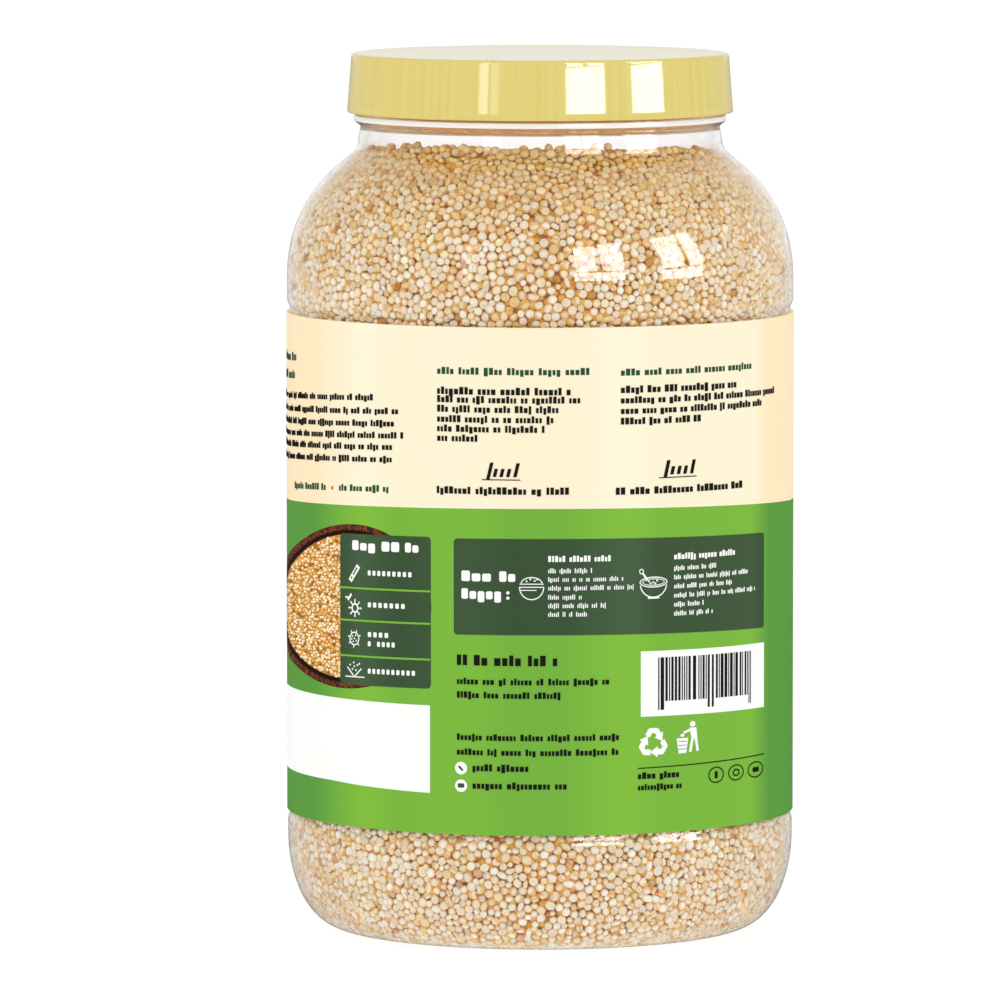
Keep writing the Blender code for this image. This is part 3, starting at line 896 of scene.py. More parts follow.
    # the far side, finished like the shown one: an oval bowl, a dark heading panel and a few leaves
    far = AROUND / 2
    b2, k2, s2 = Print(0.00002), Print(0.000035), Print(0.00003)
    g2, p2, t2, y2 = Print(0.00002), Print(0.000035), Print(0.000035), Print(0.000035)
    bowl_picture((b2, k2, s2, g2, p2, t2, y2), 27.0, rng, lambda x: True, None, (far, 33.5))
    dark.rect(far - 42.0, 76.0, far + 42.0, 91.0, 1.2)
    for k in range(9):
        if k != 4:
            white.rect(far - 33.0 + 7.4 * k, 83.2, far - 33.0 + 7.4 * k + 5.6, 88.4, 1.0)
    white.words(far - 26.0, far + 26.0, 79.0, 1.5, rng, 0.62, (4, 9), 0.8)
    pine.words(far - 24.0, far + 24.0, 98.6, 1.7, rng, 0.66, (4, 9), 0.8)
    sprig = Print(0.00009)
    for side in (-1, 1):
        for lean, foot, tall in ((0.0, 12.0, 40.0), (7.0, 12.0, 27.0), (-7.0, 12.0, 27.0)):
            # a leaf as a row of columns across its width, pointed at both ends
            across = np.linspace(-1, 1, 9)
            mid_u = far + side * 49.0 + lean
            swell = np.sqrt(np.maximum(1 - np.abs(across), 0.0004))
            sprig.columns(mid_u + across * 2.6, foot + tall / 2 - swell * tall / 2, foot + tall / 2 + swell * tall / 2)
            sprig.line(mid_u, foot + 2.0, mid_u, foot - 5.0, 0.6)
    dark.build("print_dark_panels", DARK)
    leaf.build("print_leaf_green", LEAF_INK)
    sprig.build("print_sprigs", SPRIG_INK)
    white.build("print_white", WHITE_INK)
    dark_over.build("print_dark_over", DARK)
    paper.build("print_blank_fields", WHITE_INK)
    black.build("print_black", BLACK_INK)
    pine.build("print_pine", PINE_INK)
    for name, parts, ink in (("rim", (brown, b2), BROWN_INK), ("rim_streaks", (streak, k2), STREAK_INK), ("shade", (shade, s2), SHADE_INK),
                             ("fill", (beige, g2), BEIGE_INK), ("pale", (pale, p2), PALE_INK), ("tan", (tan, t2), TAN_INK),
                             ("golden", (golden, y2), GOLDEN_INK)):
        parts[0].build("print_bowl_%s" % name, ink)
        parts[1].build("print_far_bowl_%s" % name, ink)
    orange.build("print_dot", ORANGE_INK)


make_print()

# ------------------------------------------------------------------ the quinoa
LINING = np.array(inset(wall_path(3.0), WALL))
STEP = np.hypot(*np.diff(LINING, axis=0).T)
ALONG = np.concatenate([[0], np.cumsum(STEP)])


def lining_at(s):
    """Radius, height and unit tangent (down the wall) of the jar's inside, by length along it."""
    r = np.interp(s, ALONG, LINING[:, 0])
    z = np.interp(s, ALONG, LINING[:, 1])
    e = 0.0008
    dr = np.interp(s + e, ALONG, LINING[:, 0]) - np.interp(s - e, ALONG, LINING[:, 0])
    dz = np.interp(s + e, ALONG, LINING[:, 1]) - np.interp(s - e, ALONG, LINING[:, 1])
    size = np.maximum(np.hypot(dr, dz), 1e-9)
    return r, z, dr / size, dz / size


def length_at_height(z, from_top=True):
    order = LINING[:, 1]
    top = int(np.argmin(order)) if from_top else len(order)
    zz, ss = order[:top][::-1], ALONG[:top][::-1]
    return np.interp(z, zz, ss)


def close_pairs(p, reach):
    """Pairs of points nearer than reach, found through a grid of cells."""
    cell = np.floor(p / reach).astype(np.int64)
    cell -= cell.min(0) - 1
    span = cell.max(0) + 2
    key = (cell[:, 0] * span[1] + cell[:, 1]) * span[2] + cell[:, 2]
    order = np.argsort(key, kind="stable")
    ks = key[order]
    uniq, start, count = np.unique(ks, return_index=True, return_counts=True)
    most = int(count.max())
    first, second = [], []
    for m in range(1, most):
        a = np.arange(len(ks) - m)
        a = a[ks[a] == ks[a + m]]
        first.append(order[a])
        second.append(order[a + m])
    for dx in (-1, 0, 1):
        for dy in (-1, 0, 1):
            for dz in (-1, 0, 1):
                if (dx, dy, dz) <= (0, 0, 0):
                    continue
                want = ks + (dx * span[1] + dy) * span[2] + dz
                at = np.minimum(np.searchsorted(uniq, want), len(uniq) - 1)
                ok = np.nonzero(uniq[at] == want)[0]
                st, ct = start[at[ok]], count[at[ok]]
                for m in range(most):
                    k = ct > m
                    first.append(order[ok[k]])
                    second.append(order[st[k] + m])
    a, b = np.concatenate(first), np.concatenate(second)
    near = ((p[a] - p[b]) ** 2).sum(1) < reach ** 2
    return a[near], b[near]


def grain_sizes(n, rng):
    """Half the width of each grain, in metres: mostly alike, some small and broken."""
    r = rng.normal(0.00105, 0.00011, n)
    small = rng.random(n) < 0.16
    r[small] = rng.uniform(0.00060, 0.00088, small.sum())
    return np.clip(r, 0.00055, 0.00130)


def pushes(p, r, closeness, reach=0.0025):
    a, b = close_pairs(p, reach)
    d = p[a] - p[b]
    far = np.maximum(np.sqrt((d ** 2).sum(1)), 1e-6)
    want = (r[a] + r[b]) * closeness
    lap = np.maximum(want - far, 0) * 0.5
    step = d / far[:, None] * lap[:, None]
    move = np.zeros_like(p)
    for k in range(3):
        move[:, k] = np.bincount(a, step[:, k], len(p)) - np.bincount(b, step[:, k], len(p))
    return move


def scatter_wall(s_low, s_high, rng, room, closeness=0.92, rounds=46):
    """Grains on the jar's inside between two lengths along it. s_low may depend on the angle."""
    probe = np.linspace(0, 1, 200)
    mid_r, _, _, _ = lining_at(s_high - (s_high - length_at_height(FILL_FRONT)) * (1 - probe))
    area = 2 * pi * np.mean(mid_r) * (s_high - length_at_height(0.1665) if callable(s_low) else s_high - s_low)
    n = int(area / room)
    angle = rng.uniform(-pi, pi, n * 2)
    s0 = s_low(angle) if callable(s_low) else np.full(n * 2, s_low)
    s = s0 + (s_high - s0) * rng.random(n * 2)
    r, _, _, _ = lining_at(s)
    keep = rng.random(n * 2) < r / 0.0535
    angle, s = angle[keep][:n], s[keep][:n]
    size = grain_sizes(len(s), rng)
    for _ in range(rounds):
        r, z, tr, tz = lining_at(s)
        p = np.stack([r * np.sin(angle), -r * np.cos(angle), z], 1)
        move = pushes(p, size, closeness)
        along = move[:, 0] * tr * np.sin(angle) - move[:, 1] * tr * np.cos(angle) + move[:, 2] * tz
        turn = move[:, 0] * np.cos(angle) + move[:, 1] * np.sin(angle)
        angle = angle + turn / np.maximum(r, 0.004)
        angle = (angle + pi) % (2 * pi) - pi
        s = s + along
        s0 = s_low(angle) if callable(s_low) else s_low
        s = np.clip(s, s0, s_high)
    r, z, tr, tz = lining_at(s)
    p = np.stack([r * np.sin(angle), -r * np.cos(angle), z], 1)
    inward = np.stack([tz * np.sin(angle), -tz * np.cos(angle), -tr], 1)
    return p, inward, size


def scatter_disc(radius, height, rng, room, closeness=0.92, rounds=40):
    """Grains on a flat-lying surface inside the jar."""
    n = int(pi * radius ** 2 / room)
    far, angle = radius * np.sqrt(rng.random(n)), rng.uniform(0, 2 * pi, n)
    xy = np.stack([far * np.cos(angle), far * np.sin(angle)], 1)
    size = grain_sizes(n, rng)
    for _ in range(rounds):
        p = np.concatenate([xy, np.zeros((n, 1))], 1)
        xy = xy + pushes(p, size, closeness)[:, :2]
        out = np.hypot(*xy.T)
        xy *= np.minimum(1, (radius - 0.0003) / np.maximum(out, 1e-9))[:, None]
    return np.concatenate([xy, height(xy[:, 0], xy[:, 1])[:, None]], 1), size


# unit grains: rings of (width, height) from the top pole down, turned round the short axis
def unit_grain(top, rings, bottom, around_=8):
    verts, tone = [(0.0, 0.0, top[0])], [top[1]]
    for k, (w, h, shade) in enumerate(rings):
        for i in range(around_):
            a = 2 * pi * (i + 0.5 * (k % 2)) / around_
            verts.append((w * cos(a), w * sin(a), h))
            tone.append(shade)
    verts.append((0.0, 0.0, bottom[0]))
    tone.append(bottom[1])
    faces = []
    for i in range(around_):
        faces.append((0, 1 + i, 1 + (i + 1) % around_))
    for k in range(len(rings) - 1):
        a0, b0 = 1 + k * around_, 1 + (k + 1) * around_
        for i in range(around_):
            j = (i + 1) % around_
            if k % 2 == 0:
                faces += [(a0 + i, b0 + i, a0 + j), (a0 + j, b0 + i, b0 + j)]
            else:
                faces += [(a0 + i, b0 + i, b0 + j), (a0 + i, b0 + j, a0 + j)]
    last, end = 1 + (len(rings) - 1) * around_, len(verts) - 1
    for i in range(around_):
        faces.append((last + i, end, last + (i + 1) % around_))
    return np.array(verts), np.array(faces), np.array(tone)


# tone: 0 is the grain's pale face, 1 its golden edge, whose colour is partly the grain's own and partly painted shade
# between grains
PLUMP = unit_grain((0.96, 0.05), [(0.72, 0.73, 0.08), (1.0, 0.02, 0.92), (0.72, -0.73, 0.08)], (-0.96, 0.05))
RINGED = unit_grain((0.66, 0.30), [(0.38, 0.74, 0.62), (0.72, 0.90, 0.0), (1.0, 0.05, 0.95), (0.72, -0.86, 0.0), (0.38, -0.74, 0.55)],
                    (-0.66, 0.30))
SPLIT = unit_grain((0.80, 0.15), [(0.78, 0.62, 0.20), (1.0, -0.10, 0.95), (0.60, -0.66, 0.40)], (-0.72, 0.45))


def frames(normal, lean, rng):
    """Three axes for each grain: the last is its short axis, leaning from the normal."""
    n = len(normal)
    helper = np.where(np.abs(normal[:, 2:3]) < 0.9, [[0.0, 0.0, 1.0]], [[1.0, 0.0, 0.0]])
    t1 = np.cross(normal, helper)
    t1 /= np.linalg.norm(t1, axis=1)[:, None]
    t2 = np.cross(normal, t1)
    way = rng.uniform(0, 2 * pi, n)[:, None]
    side = t1 * np.cos(way) + t2 * np.sin(way)
    c = normal * np.cos(lean)[:, None] + side * np.sin(lean)[:, None]
    b = np.cross(c, side)
    b /= np.linalg.norm(b, axis=1)[:, None]
    a = np.cross(b, c)
    spin = rng.uniform(0, 2 * pi, n)[:, None]
    return np.stack([a * np.cos(spin) + b * np.sin(spin), -a * np.sin(spin) + b * np.cos(spin), c], 2)


FACES = {"pale": linear(248, 238, 220), "cream": linear(246, 231, 202), "golden": linear(241, 213, 158), "tan": linear(206, 150, 74)}
EDGES_AND_SHADE = {"pale": linear(234, 182, 76), "cream": linear(232, 174, 62), "golden": linear(226, 160, 46), "tan": linear(186, 110, 30)}
# the grains behind the first ones get deeper, warmer colours: painted shade in the gaps between the front grains
FACES.update({"gap_cream": linear(230, 182, 88), "gap_golden": linear(222, 162, 58)})
EDGES_AND_SHADE.update({"gap_cream": linear(222, 150, 42), "gap_golden": linear(212, 134, 28)})
SMALL = unit_grain((0.96, 0.08), [(0.72, 0.72, 0.12), (1.0, 0.02, 0.95), (0.72, -0.72, 0.12)], (-0.96, 0.08), 6)

BACK = unit_grain((0.98, 0.2), [(0.88, 0.48, 0.3), (0.88, -0.48, 0.3)], (-0.98, 0.2), 6)


def build_grains(name, kind, points, inward, size, rng, zone, deeper=0.0):
    """One joined mesh of real grains that touch the wall, lie behind those or lie on the surface."""
    n = len(points)
    lean = np.abs(rng.normal(0, radians(22), n))
    loose = rng.random(n) < 0.22
    lean[loose] = rng.uniform(radians(30), radians(90), loose.sum())
    axes = frames(inward, lean, rng)
    long_, wide, thick = size * rng.uniform(0.98, 1.10, n), size * rng.uniform(0.90, 1.0, n), size * rng.uniform(0.74, 0.92, n)
    stretched = rng.random(n) < (0.04 if kind != "golden" else 0.14)
    long_[stretched] *= rng.uniform(1.15, 1.40, stretched.sum())
    wide[stretched] *= rng.uniform(0.66, 0.82, stretched.sum())
    scale = np.stack([long_, wide, thick], 1)
    half = np.sqrt(((np.einsum("nij,ni->nj", axes, inward) * scale) ** 2).sum(1))
    if zone == "surface":
        centre = points + inward * (half * rng.uniform(0.75, 1.35, n))[:, None]
    else:
        deep = np.where(rng.random(n) < 0.25, rng.uniform(0, 0.00045, n), rng.uniform(0, 0.00010, n))
        if deeper:
            deep = deeper * rng.uniform(0.8, 1.5, n)
        near_foot = np.clip((0.0150 - points[:, 2]) / 0.0110, 0, 1) if zone == "lower" and not deeper else 0.0
        centre = points + inward * (half - 0.00030 - 0.00024 * near_foot + deep)[:, None]
    pick = rng.random(n)
    sets = ((PLUMP, 0.0, 0.52), (RINGED, 0.52, 0.84), (SPLIT, 0.84, 1.01))
    if zone in ("surface", "bottom"):
        sets = ((SMALL, 0.0, 0.90), (SPLIT, 0.90, 1.01))
    if deeper:
        sets = ((BACK, 0.0, 1.01),)
        kind = "gap_" + kind
    verts, tris, tint, base = [], [], [], 0
    face_c, edge_c = np.array(FACES[kind]), np.array(EDGES_AND_SHADE[kind])
    # painted shade under the lid makes the top of the heap more golden; the foot is whiter with orange edges
    lid_shade = np.clip((centre[:, 2] - 0.148) / 0.018, 0, 1) if zone in ("upper", "surface") else np.zeros(n)
    lid_shade_face, lid_shade_edge = np.array(linear(226, 192, 112)), np.array(linear(216, 150, 50))
    white, orange = np.array(linear(244, 239, 228)), np.array(linear(234, 170, 72))
    for unit, low, high in sets:
        k = np.nonzero((pick >= low) & (pick < high))[0]
        if not len(k):
            continue
        v, f, tone = unit
        tone = tone ** 1.5
        local = v[None] * (1 + rng.normal(0, 0.030, (len(k), len(v), 1))) * scale[k][:, None, :]
        world_ = np.einsum("nij,nvj->nvi", axes[k], local) + centre[k][:, None, :]
        verts.append(world_.reshape(-1, 3))
        tris.append((f[None] + (base + np.arange(len(k)) * len(v))[:, None, None]).reshape(-1, 3))
        base += len(k) * len(v)
        w = (lid_shade[k] * (0.25 if deeper else 0.68))[:, None, None]
        faces_k = face_c * (1 - w) + lid_shade_face * w
        edges_k = edge_c * (1 - w) + lid_shade_edge * w
        if zone in ("lower", "bottom") and not deeper:
            faces_k = faces_k * 0.66 + white * 0.34
            edges_k = edges_k * 0.55 + orange * 0.45
        bright = rng.normal(1.0, 0.045, (len(k), 1, 1))
        warm = rng.normal(0.0, 0.04, (len(k), 1, 1)) * np.array([0.25, 0.0, -1.0])
        blend = faces_k * (1 - tone[None, :, None]) + edges_k * tone[None, :, None]
        tint.append(np.clip(blend * bright * (1 + warm), 0.01, 0.96).reshape(-1, 3))
    made = mesh_object(name, np.concatenate(verts), np.concatenate(tris), GRAIN, tint=np.concatenate(tint))
    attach(made, "root")
    return made


def gaps_between(points, centres, free, apart, rng):
    """Those of the points that lie in gaps: further than free from every centre and apart from one another."""
    every = np.concatenate([points, centres])
    a, b = close_pairs(every, free)
    n = len(points)
    bad = np.zeros(n, bool)
    cross = (a < n) != (b < n)
    bad[np.where(a[cross] < n, a[cross], b[cross])] = True
    left = np.nonzero(~bad)[0]
    a, b = close_pairs(points[left], apart)
    rank = rng.random(len(left))
    for _ in range(6):
        worse = np.where(rank[a] > rank[b], a, b)
        alive = rank < 2
        hit = alive[a] & alive[b]
        lowest = np.ones(len(left), bool)
        lowest[worse[hit]] = False
        loser = np.where(lowest[a[hit]] & ~lowest[b[hit]], b[hit], np.where(lowest[b[hit]] & ~lowest[a[hit]], a[hit], -1))
        rank[loser[loser >= 0]] = 3
    alive = rank < 2
    hit = alive[a] & alive[b]
    alive[np.where(rank[a[hit]] > rank[b[hit]], a[hit], b[hit])] = False
    return left[alive]


def bump_heights(points, centres, radii):
    """Height of the highest grain top over each point, from centres that lie on the same surface."""
    reach = 0.0013
    low = np.minimum(points.min(0), centres.min(0)) - reach
    cp = np.floor((points - low) / reach).astype(np.int64) + 1
    cc = np.floor((centres - low) / reach).astype(np.int64) + 1
    span = np.maximum(cp.max(0), cc.max(0)) + 3
    key = lambda c: (c[..., 0] * span[1] + c[..., 1]) * span[2] + c[..., 2]
    order = np.argsort(key(cc), kind="stable")
    ks = key(cc)[order]
    uniq, start, count = np.unique(ks, return_index=True, return_counts=True)
    best = np.zeros(len(points))
    mine = key(cp)
    for dx in (-1, 0, 1):
        for dy in (-1, 0, 1):
            for dz in (-1, 0, 1):
                want = mine + (dx * span[1] + dy) * span[2] + dz
                at = np.minimum(np.searchsorted(uniq, want), len(uniq) - 1)
                ok = np.nonzero(uniq[at] == want)[0]
                st, ct = start[at[ok]], count[at[ok]]
                for m in range(int(count.max())):
                    k = ct > m
                    rows, who = ok[k], order[st[k] + m]
                    d2 = ((points[rows] - centres[who]) ** 2).sum(1) / radii[who] ** 2
                    h = radii[who] * np.sqrt(np.maximum(0, 1 - d2))
                    best[rows] = np.maximum(best[rows], h)
    return best


def make_core(rng):
    """The heap behind the outer grains, with grains in relief."""
    around_ = 260
    top_s = length_at_height(0.1690)
    wall_r0 = 0.0372
    rows = []   # (mode, value): on the surface by share of the radius, or on the wall by length
    for k in range(30):
        rows.append(("top", k / 30))
    end = ALONG[-1]
    low_zone, high_zone = length_at_height(0.030), length_at_height(0.126)
    s = 0.0
    marks = []
    while s < end - 0.0003:
        marks.append(s)
        s += 0.0045 if high_zone < s + top_s < low_zone else 0.00120
    angle = np.arange(around_) * 2 * pi / around_
    sx, cy = np.sin(angle), -np.cos(angle)
    # how far down the surface lies at each angle
    rim = np.full(around_, 0.0375)
    for _ in range(4):
        z = fill_height(rim * sx, rim * cy) - 0.0012
        s_rim = length_at_height(z)
        rim = lining_at(s_rim)[0]
    points, inward, depth = [], [], []
    for kind, share in rows:
        r = (rim - 0.0022) * share
        x, y = r * sx, r * cy
        points.append(np.stack([x, y, fill_height(x, y) - 0.0006], 1))
        inward.append(np.tile([0.0, 0.0, -1.0], (around_, 1)))
        depth.append(np.full(around_, 0.0016))
    total = end - s_rim
    fractions = np.array(marks) / end
    for f in fractions:
        # stretch the rows so that they start at the rim and end at the middle of the bottom
        s_row = s_rim + total * f
        r, z, tr, tz = lining_at(s_row)
        points.append(np.stack([r * sx, r * cy, z], 1))
        inward.append(np.stack([tz * sx, tz * cy, -tr], 1))
        zone = np.clip((z - 0.036) / 0.010, 0, 1) * np.clip((0.120 - z) / 0.010, 0, 1)
        depth.append(0.0017 - 0.0013 * zone - 0.0012 * np.clip((0.0060 - z) / 0.0040, 0, 1))
    r, z, tr, tz = lining_at(np.array([end]))
    n_rows = len(points)
    points, inward, depth = np.concatenate(points), np.concatenate(inward), np.concatenate(depth)
    seeds = rng.choice(len(points), 24000, replace=True, p=np.maximum(np.hypot(points[:, 0], points[:, 1]), 0.001)
                       / np.maximum(np.hypot(points[:, 0], points[:, 1]), 0.001).sum())
    centres = points[seeds] + rng.normal(0, 0.0002, (len(seeds), 3))
    # drop seeds that crowd each other
    a, b = close_pairs(centres, 0.00135)
    drop = np.unique(np.maximum(a, b)[rng.random(len(a)) < 0.93])
    keep = np.ones(len(centres), bool)
    keep[drop] = False
    centres = centres[keep]
    radii = rng.uniform(0.00075, 0.00105, len(centres))
    height = bump_heights(points, centres, radii)
    place = points + inward * (depth - np.minimum(height, depth - 0.0003) * 0.85)[:, None]
    # painted shade: deeper orange low between the grains in relief, lighter on their tops
    tone = np.clip(height / 0.0010, 0, 1)[:, None]
    deep, tops = np.array(linear(238, 156, 34)), np.array(linear(244, 182, 66))
    tint = deep * (1 - tone) + tops * tone
    # the middle of the surface and of the bottom
    verts = [place.reshape(-1, 3)]
    grid = np.arange(n_rows * around_).reshape(n_rows, around_)
    first = place[:around_].mean(0)
    last = place[-around_:].mean(0)
    verts += [first[None], last[None]]
    tint = np.concatenate([tint, tint[:1], tint[-1:]])
    i_first, i_last = n_rows * around_, n_rows * around_ + 1
    # with the angle as used here, rows run down and the angle turns to the left seen from outside
    up, low = grid[1:-1], grid[2:]
    quads = np.stack([up, low, np.roll(low, -1, 1), np.roll(up, -1, 1)], -1).reshape(-1, 4)
    ring, tail = grid[1], grid[-1]
    cap = np.stack([np.full(around_, i_first), ring, np.roll(ring, -1)], 1)
    foot = np.stack([tail, np.full(around_, i_last), np.roll(tail, -1)], 1)
    made = mesh_object("quinoa_core", np.concatenate(verts), [quads, np.concatenate([cap, foot])], GRAIN_DEEP, tint=tint)
    return made


GRAIN = grain_material("quinoa_grain", 0.5, SOAK)
GRAIN_DEEP = grain_material("quinoa_deep", 0.62)

core = make_core(np.random.default_rng(5))
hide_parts("quinoa")
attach(core, "root")


def surface_start(angle):
    """Where the heap's surface meets the wall, as a length along the wall, by angle from the front."""
    r = np.full(np.shape(angle), 0.0374)
    for _ in range(3):
        z = fill_height(r * np.sin(angle), -r * np.cos(angle)) - 0.0009
        s = length_at_height(z)
        r = lining_at(s)[0]
    return s


def wall_points(s_low, s_high, n, rng):
    angle = rng.uniform(-pi, pi, n)
    s0 = s_low(angle) if callable(s_low) else np.full(n, s_low)
    s = s0 + (s_high - s0) * rng.random(n)
    r, z, tr, tz = lining_at(s)
    keep = rng.random(n) < r / 0.0535
    angle, r, z, tr, tz = (a[keep] for a in (angle, r, z, tr, tz))
    return (np.stack([r * np.sin(angle), -r * np.cos(angle), z], 1),
            np.stack([tz * np.sin(angle), -tz * np.cos(angle), -tr], 1))


def make_grains():
    rng = np.random.default_rng(11)
    base_turn = int(np.argmin(LINING[:, 1]))
    s_foot = ALONG[base_turn] + 0.0042
    s_upper, s_lower = float(length_at_height(0.1290)), float(length_at_height(0.0278))
    zones = {}
    zones["upper"] = scatter_wall(surface_start, s_upper, rng, 2.95e-6)
    zones["lower"] = scatter_wall(s_lower, s_foot, rng, 2.95e-6)
    for zone, low, high in (("upper", surface_start, s_upper), ("lower", s_lower, s_foot)):
        points, inward = wall_points(low, high, 90000, rng)
        pick = gaps_between(points, zones[zone][0], 0.00100, 0.00150, rng)
        zones[zone + "_behind"] = (points[pick], inward[pick], grain_sizes(len(pick), rng))
    # the surface under the lid
    top, size = scatter_disc(0.0372, fill_height, rng, 2.9e-6)
    # single grains that stand up along the heap's rim
    way = np.sort(rng.uniform(-pi, pi, 150))
    way = way[(np.sin(way * 5 + 0.8) + 0.6 * np.sin(way * 11) > -0.35)]
    out = rng.uniform(0.0355, 0.0366, len(way))
    rim = np.stack([out * np.sin(way), -out * np.cos(way), np.zeros(len(way))], 1)
    rim[:, 2] = fill_height(rim[:, 0], rim[:, 1]) + rng.uniform(-0.0014, -0.0007, len(way))
    apart = np.concatenate([[True], np.linalg.norm(np.diff(rim, axis=0), axis=1) > 0.0013])
    rim = rim[apart]
    top, size = np.concatenate([top, rim]), np.concatenate([size, rng.uniform(0.0009, 0.0012, len(rim))])
    lying, standing = np.tile([0.0, 0.0, -1.0], (len(top) - len(rim), 1)), np.tile([0.0, 0.0, 1.0], (len(rim), 1))
    zones["surface"] = (top, np.concatenate([lying, standing]), size)
    # under the pushed-up bottom
    inner = LINING[base_turn:]

    def bottom(x, y):
        return np.interp(np.hypot(x, y), inner[::-1, 0], inner[::-1, 1])
    low, size = scatter_disc(float(inner[0, 0]) - 0.001, bottom, rng, 3.2e-6)
    zones["bottom"] = (low, np.tile([0.0, 0.0, 1.0], (len(low), 1)), size)
    counts = {}
    for zone, (p, inward, size) in zones.items():
        kinds = rng.choice(4, len(p), p=[0.56, 0.325, 0.10, 0.015])
        if zone.endswith("behind"):
            kinds = rng.choice(4, len(p), p=[0.0, 0.25, 0.75, 0.0])
        for k, kind in enumerate(("pale", "cream", "golden", "tan")):
            pick = kinds == k
            if not pick.any():
                continue
            made = build_grains("grains_%s_%s" % (zone, kind), kind, p[pick], inward[pick], size[pick], rng, zone.split("_")[0],
                                0.00038 if zone.endswith("behind") else 0.0)
            counts[made.name] = (int(pick.sum()), len(made.data.polygons))
    print("GRAINS", counts, sum(c[1] for c in counts.values()))


make_grains()

# ------------------------------------------------------------------ the studio
scene = bpy.context.scene
scene.view_settings.view_transform = "Standard"
scene.view_settings.look = "None"
scene.view_settings.exposure = 0.0
scene.view_settings.gamma = 1.0
scene.cycles.max_bounces = 18
scene.cycles.glossy_bounces = 12
scene.cycles.diffuse_bounces = 5

world = bpy.data.worlds.new("studio")
scene.world = world
world.use_nodes = True
wt = world.node_tree
wt.nodes.clear()
w_out = wt.nodes.new("ShaderNodeOutputWorld")
w_even = wt.nodes.new("ShaderNodeBackground")
w_even.inputs["Color"].default_value = (1.0, 1.0, 1.0, 1)
# what gloss sees: a bright wall behind and a dim room in front
w_room = wt.nodes.new("ShaderNodeBackground")
w_room.inputs["Strength"].default_value = 1.0
w_way = wt.nodes.new("ShaderNodeTexCoord")
w_part = wt.nodes.new("ShaderNodeSeparateXYZ")
w_tone = wt.nodes.new("ShaderNodeMapRange")
w_tone.inputs["From Min"].default_value = -1.0
w_tone.inputs["From Max"].default_value = 1.0
w_ramp = wt.nodes.new("ShaderNodeValToRGB")
ROOM = ((0.0, 0.10), (0.5, 0.13), (0.75, 0.20), (0.89, 0.36), (0.965, 0.66), (1.0, 0.82))
while len(w_ramp.color_ramp.elements) < len(ROOM):
    w_ramp.color_ramp.elements.new(0.5)
for element, (place, light_) in zip(w_ramp.color_ramp.elements, ROOM):
    element.position = place
for element, (place, light_) in zip(w_ramp.color_ramp.elements, ROOM):
    element.color = (light_, light_, light_, 1)
wt.links.new(w_way.outputs["Generated"], w_part.inputs[0])
wt.links.new(w_part.outputs["Y"], w_tone.inputs["Value"])
wt.links.new(w_tone.outputs["Result"], w_ramp.inputs["Fac"])
wt.links.new(w_ramp.outputs["Color"], w_room.inputs["Color"])
w_path = wt.nodes.new("ShaderNodeLightPath")
w_not = wt.nodes.new("ShaderNodeMath")
w_not.operation = "SUBTRACT"
w_not.use_clamp = True
wt.links.new(w_path.outputs["Is Glossy Ray"], w_not.inputs[0])
wt.links.new(w_path.outputs["Is Transmission Ray"], w_not.inputs[1])
w_mix = wt.nodes.new("ShaderNodeMixShader")
wt.links.new(w_not.outputs[0], w_mix.inputs[0])
w_more = wt.nodes.new("ShaderNodeMath")
w_more.operation = "MULTIPLY_ADD"
w_more.inputs[1].default_value = 0.05
w_more.inputs[2].default_value = 1.0
wt.links.new(w_path.outputs["Is Transmission Ray"], w_more.inputs[0])
w_side = wt.nodes.new("ShaderNodeMath")
w_side.operation = "ABSOLUTE"
w_shift = wt.nodes.new("ShaderNodeMath")
w_shift.operation = "SUBTRACT"
w_shift.inputs[1].default_value = 0.15
wt.links.new(w_part.outputs["X"], w_shift.inputs[0])
wt.links.new(w_shift.outputs[0], w_side.inputs[0])
w_fall = wt.nodes.new("ShaderNodeMapRange")
w_fall.inputs["From Min"].default_value = 0.35
w_fall.inputs["From Max"].default_value = 1.15
w_fall.inputs["To Min"].default_value = 0.0
w_fall.inputs["To Max"].default_value = -0.58
wt.links.new(w_side.outputs[0], w_fall.inputs["Value"])
w_less = wt.nodes.new("ShaderNodeMath")
w_less.operation = "MULTIPLY_ADD"
wt.links.new(w_fall.outputs["Result"], w_less.inputs[0])
wt.links.new(w_path.outputs["Is Transmission Ray"], w_less.inputs[1])
wt.links.new(w_more.outputs[0], w_less.inputs[2])
wt.links.new(w_less.outputs[0], w_even.inputs["Strength"])
wt.links.new(w_even.outputs[0], w_mix.inputs[1])
wt.links.new(w_room.outputs[0], w_mix.inputs[2])
wt.links.new(w_mix.outputs[0], w_out.inputs["Surface"])

floor_m, floor_t, floor_o = new_material("studio_floor")
floor_d = node(floor_t, "ShaderNodeBsdfDiffuse")
floor_d.inputs["Color"].default_value = (0.18, 0.18, 0.18, 1)
floor_e = node(floor_t, "ShaderNodeEmission")
floor_e.inputs["Color"].default_value = (1.0, 1.0, 1.0, 1)
floor_e.inputs["Strength"].default_value = 0.88
floor_a = floor_t.nodes.new("ShaderNodeAddShader")
floor_t.links.new(floor_d.outputs[0], floor_a.inputs[0])
floor_t.links.new(floor_e.outputs[0], floor_a.inputs[1])
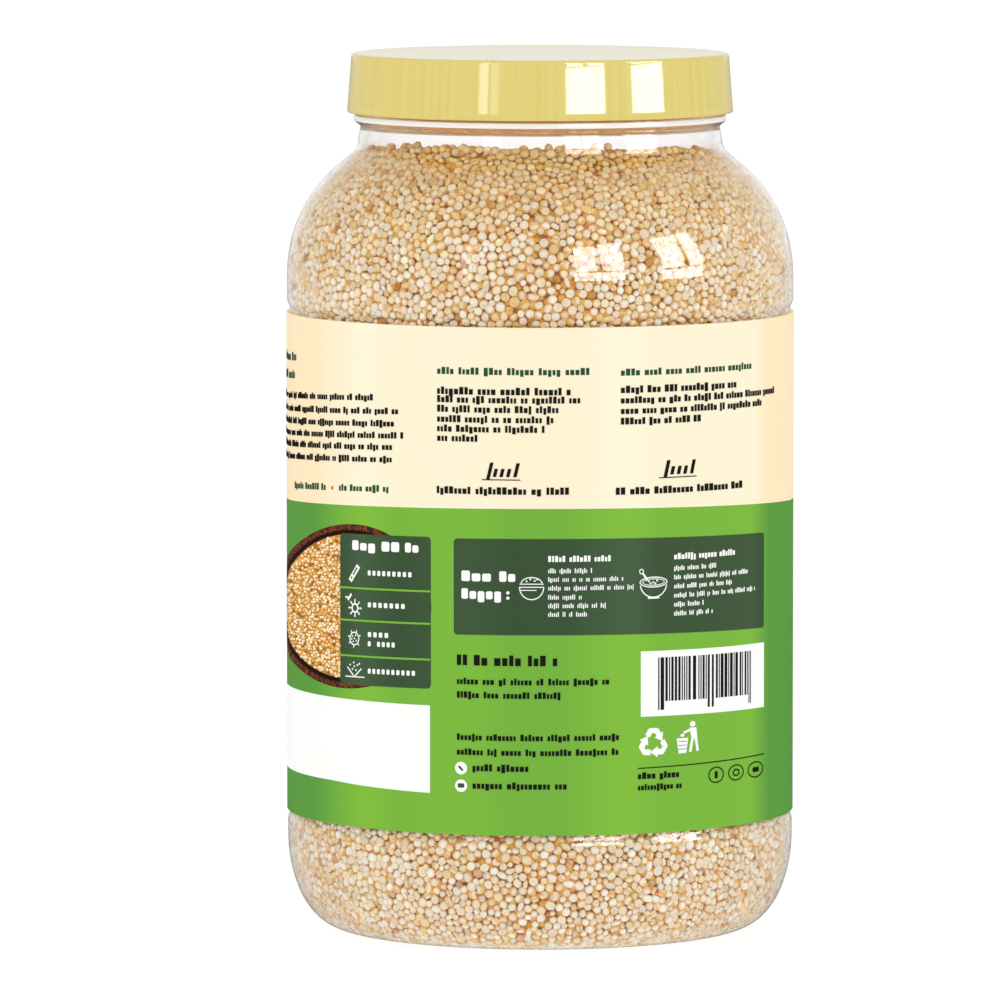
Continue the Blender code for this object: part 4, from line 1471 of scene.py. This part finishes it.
# what gloss sees of it: dim in front, half bright behind
floor_w = node(floor_t, "ShaderNodeTexCoord")
floor_s = node(floor_t, "ShaderNodeSeparateXYZ")
floor_r = node(floor_t, "ShaderNodeMapRange")
for key, value in (("From Min", -0.3), ("From Max", 1.6), ("To Min", 0.12), ("To Max", 0.42)):
    floor_r.inputs[key].default_value = value
floor_t.links.new(floor_w.outputs["Object"], floor_s.inputs[0])
floor_t.links.new(floor_s.outputs["Y"], floor_r.inputs["Value"])
floor_g = node(floor_t, "ShaderNodeEmission")
floor_g.inputs["Color"].default_value = (1.0, 1.0, 1.0, 1)
floor_t.links.new(floor_r.outputs["Result"], floor_g.inputs["Strength"])
floor_p = node(floor_t, "ShaderNodeLightPath")
floor_n = node(floor_t, "ShaderNodeMath", operation="SUBTRACT", use_clamp=True)
floor_t.links.new(floor_p.outputs["Is Glossy Ray"], floor_n.inputs[0])
floor_t.links.new(floor_p.outputs["Is Transmission Ray"], floor_n.inputs[1])
floor_x = node(floor_t, "ShaderNodeMixShader")
floor_t.links.new(floor_n.outputs[0], floor_x.inputs[0])
floor_t.links.new(floor_a.outputs[0], floor_x.inputs[1])
floor_t.links.new(floor_g.outputs[0], floor_x.inputs[2])
floor_t.links.new(floor_x.outputs[0], floor_o.inputs["Surface"])
bpy.ops.mesh.primitive_plane_add(size=40.0, location=(0, 0, -0.0003))
floor = bpy.context.object
floor.name = "studio_floor"
floor.data.materials.append(floor_m)


def area_light(name, azimuths, elevations, aim, distance, radiance, diffuse=True):
    """A soft box seen from aim between two azimuths and two elevations. Azimuth 0 is on the camera's side, 90 to its right."""
    az, el = radians(sum(azimuths) / 2), radians(sum(elevations) / 2)
    light = bpy.data.lights.new(name, "AREA")
    light.shape = "RECTANGLE"
    light.size = 2 * distance * cos(el) * tan(radians(azimuths[1] - azimuths[0]) / 2)
    light.size_y = 2 * distance * tan(radians(elevations[1] - elevations[0]) / 2)
    light.energy = radiance * pi * light.size * light.size_y
    made = bpy.data.objects.new(name, light)
    made.location = (aim[0] + distance * cos(el) * sin(az), aim[1] - distance * cos(el) * cos(az), aim[2] + distance * sin(el))
    made.rotation_euler = (radians(90) - el, 0, az)
    made.visible_diffuse = diffuse
    made.visible_camera = False
    scene.collection.objects.link(made)
    return made


# two windows, each with an upright bar and a low cross bar, seen in the lid and on the shoulder
NEAR, SIDE = (0.015, -0.051, 0.146), (0.029, -0.045, 0.147)
area_light("window_a_low", (15.2, 39.2), (3.3, 9.4), NEAR, 2.0, 8.0, False)
area_light("window_a_left", (15.6, 26.0), (10.3, 29.6), NEAR, 2.0, 8.0, False)
area_light("window_a_right", (28.4, 39.6), (10.3, 31.0), NEAR, 2.0, 8.0, False)
area_light("window_b_low", (57.0, 79.6), (2.6, 8.8), SIDE, 2.0, 8.0, False)
area_light("window_b_left", (57.6, 70.6), (9.9, 31.0), SIDE, 2.0, 8.0, False)
area_light("window_b_right", (72.9, 81.0), (9.9, 31.0), SIDE, 2.0, 8.0, False)
area_light("strip_left", (-37.6, -31.6), (2.0, 32.0), (-0.012, -0.050, 0.16), 2.0, 2.6, False)
area_light("strip_left_faint", (-30.4, -25.0), (2.0, 32.0), (-0.012, -0.050, 0.16), 2.0, 1.2, False)

cam_data = bpy.data.cameras.new("camera")
cam_data.sensor_width = 36.0
cam_data.lens = 375.0
cam_data.clip_end = 100.0
cam = bpy.data.objects.new("camera", cam_data)
tilt, distance, aim_z = radians(4.91), 2.219, 0.09114
cam.location = (-0.04 / 10.417 * distance, -distance * cos(tilt), aim_z + distance * sin(tilt))
cam.rotation_euler = (radians(90) - tilt, 0, 0)
scene.collection.objects.link(cam)
scene.camera = cam
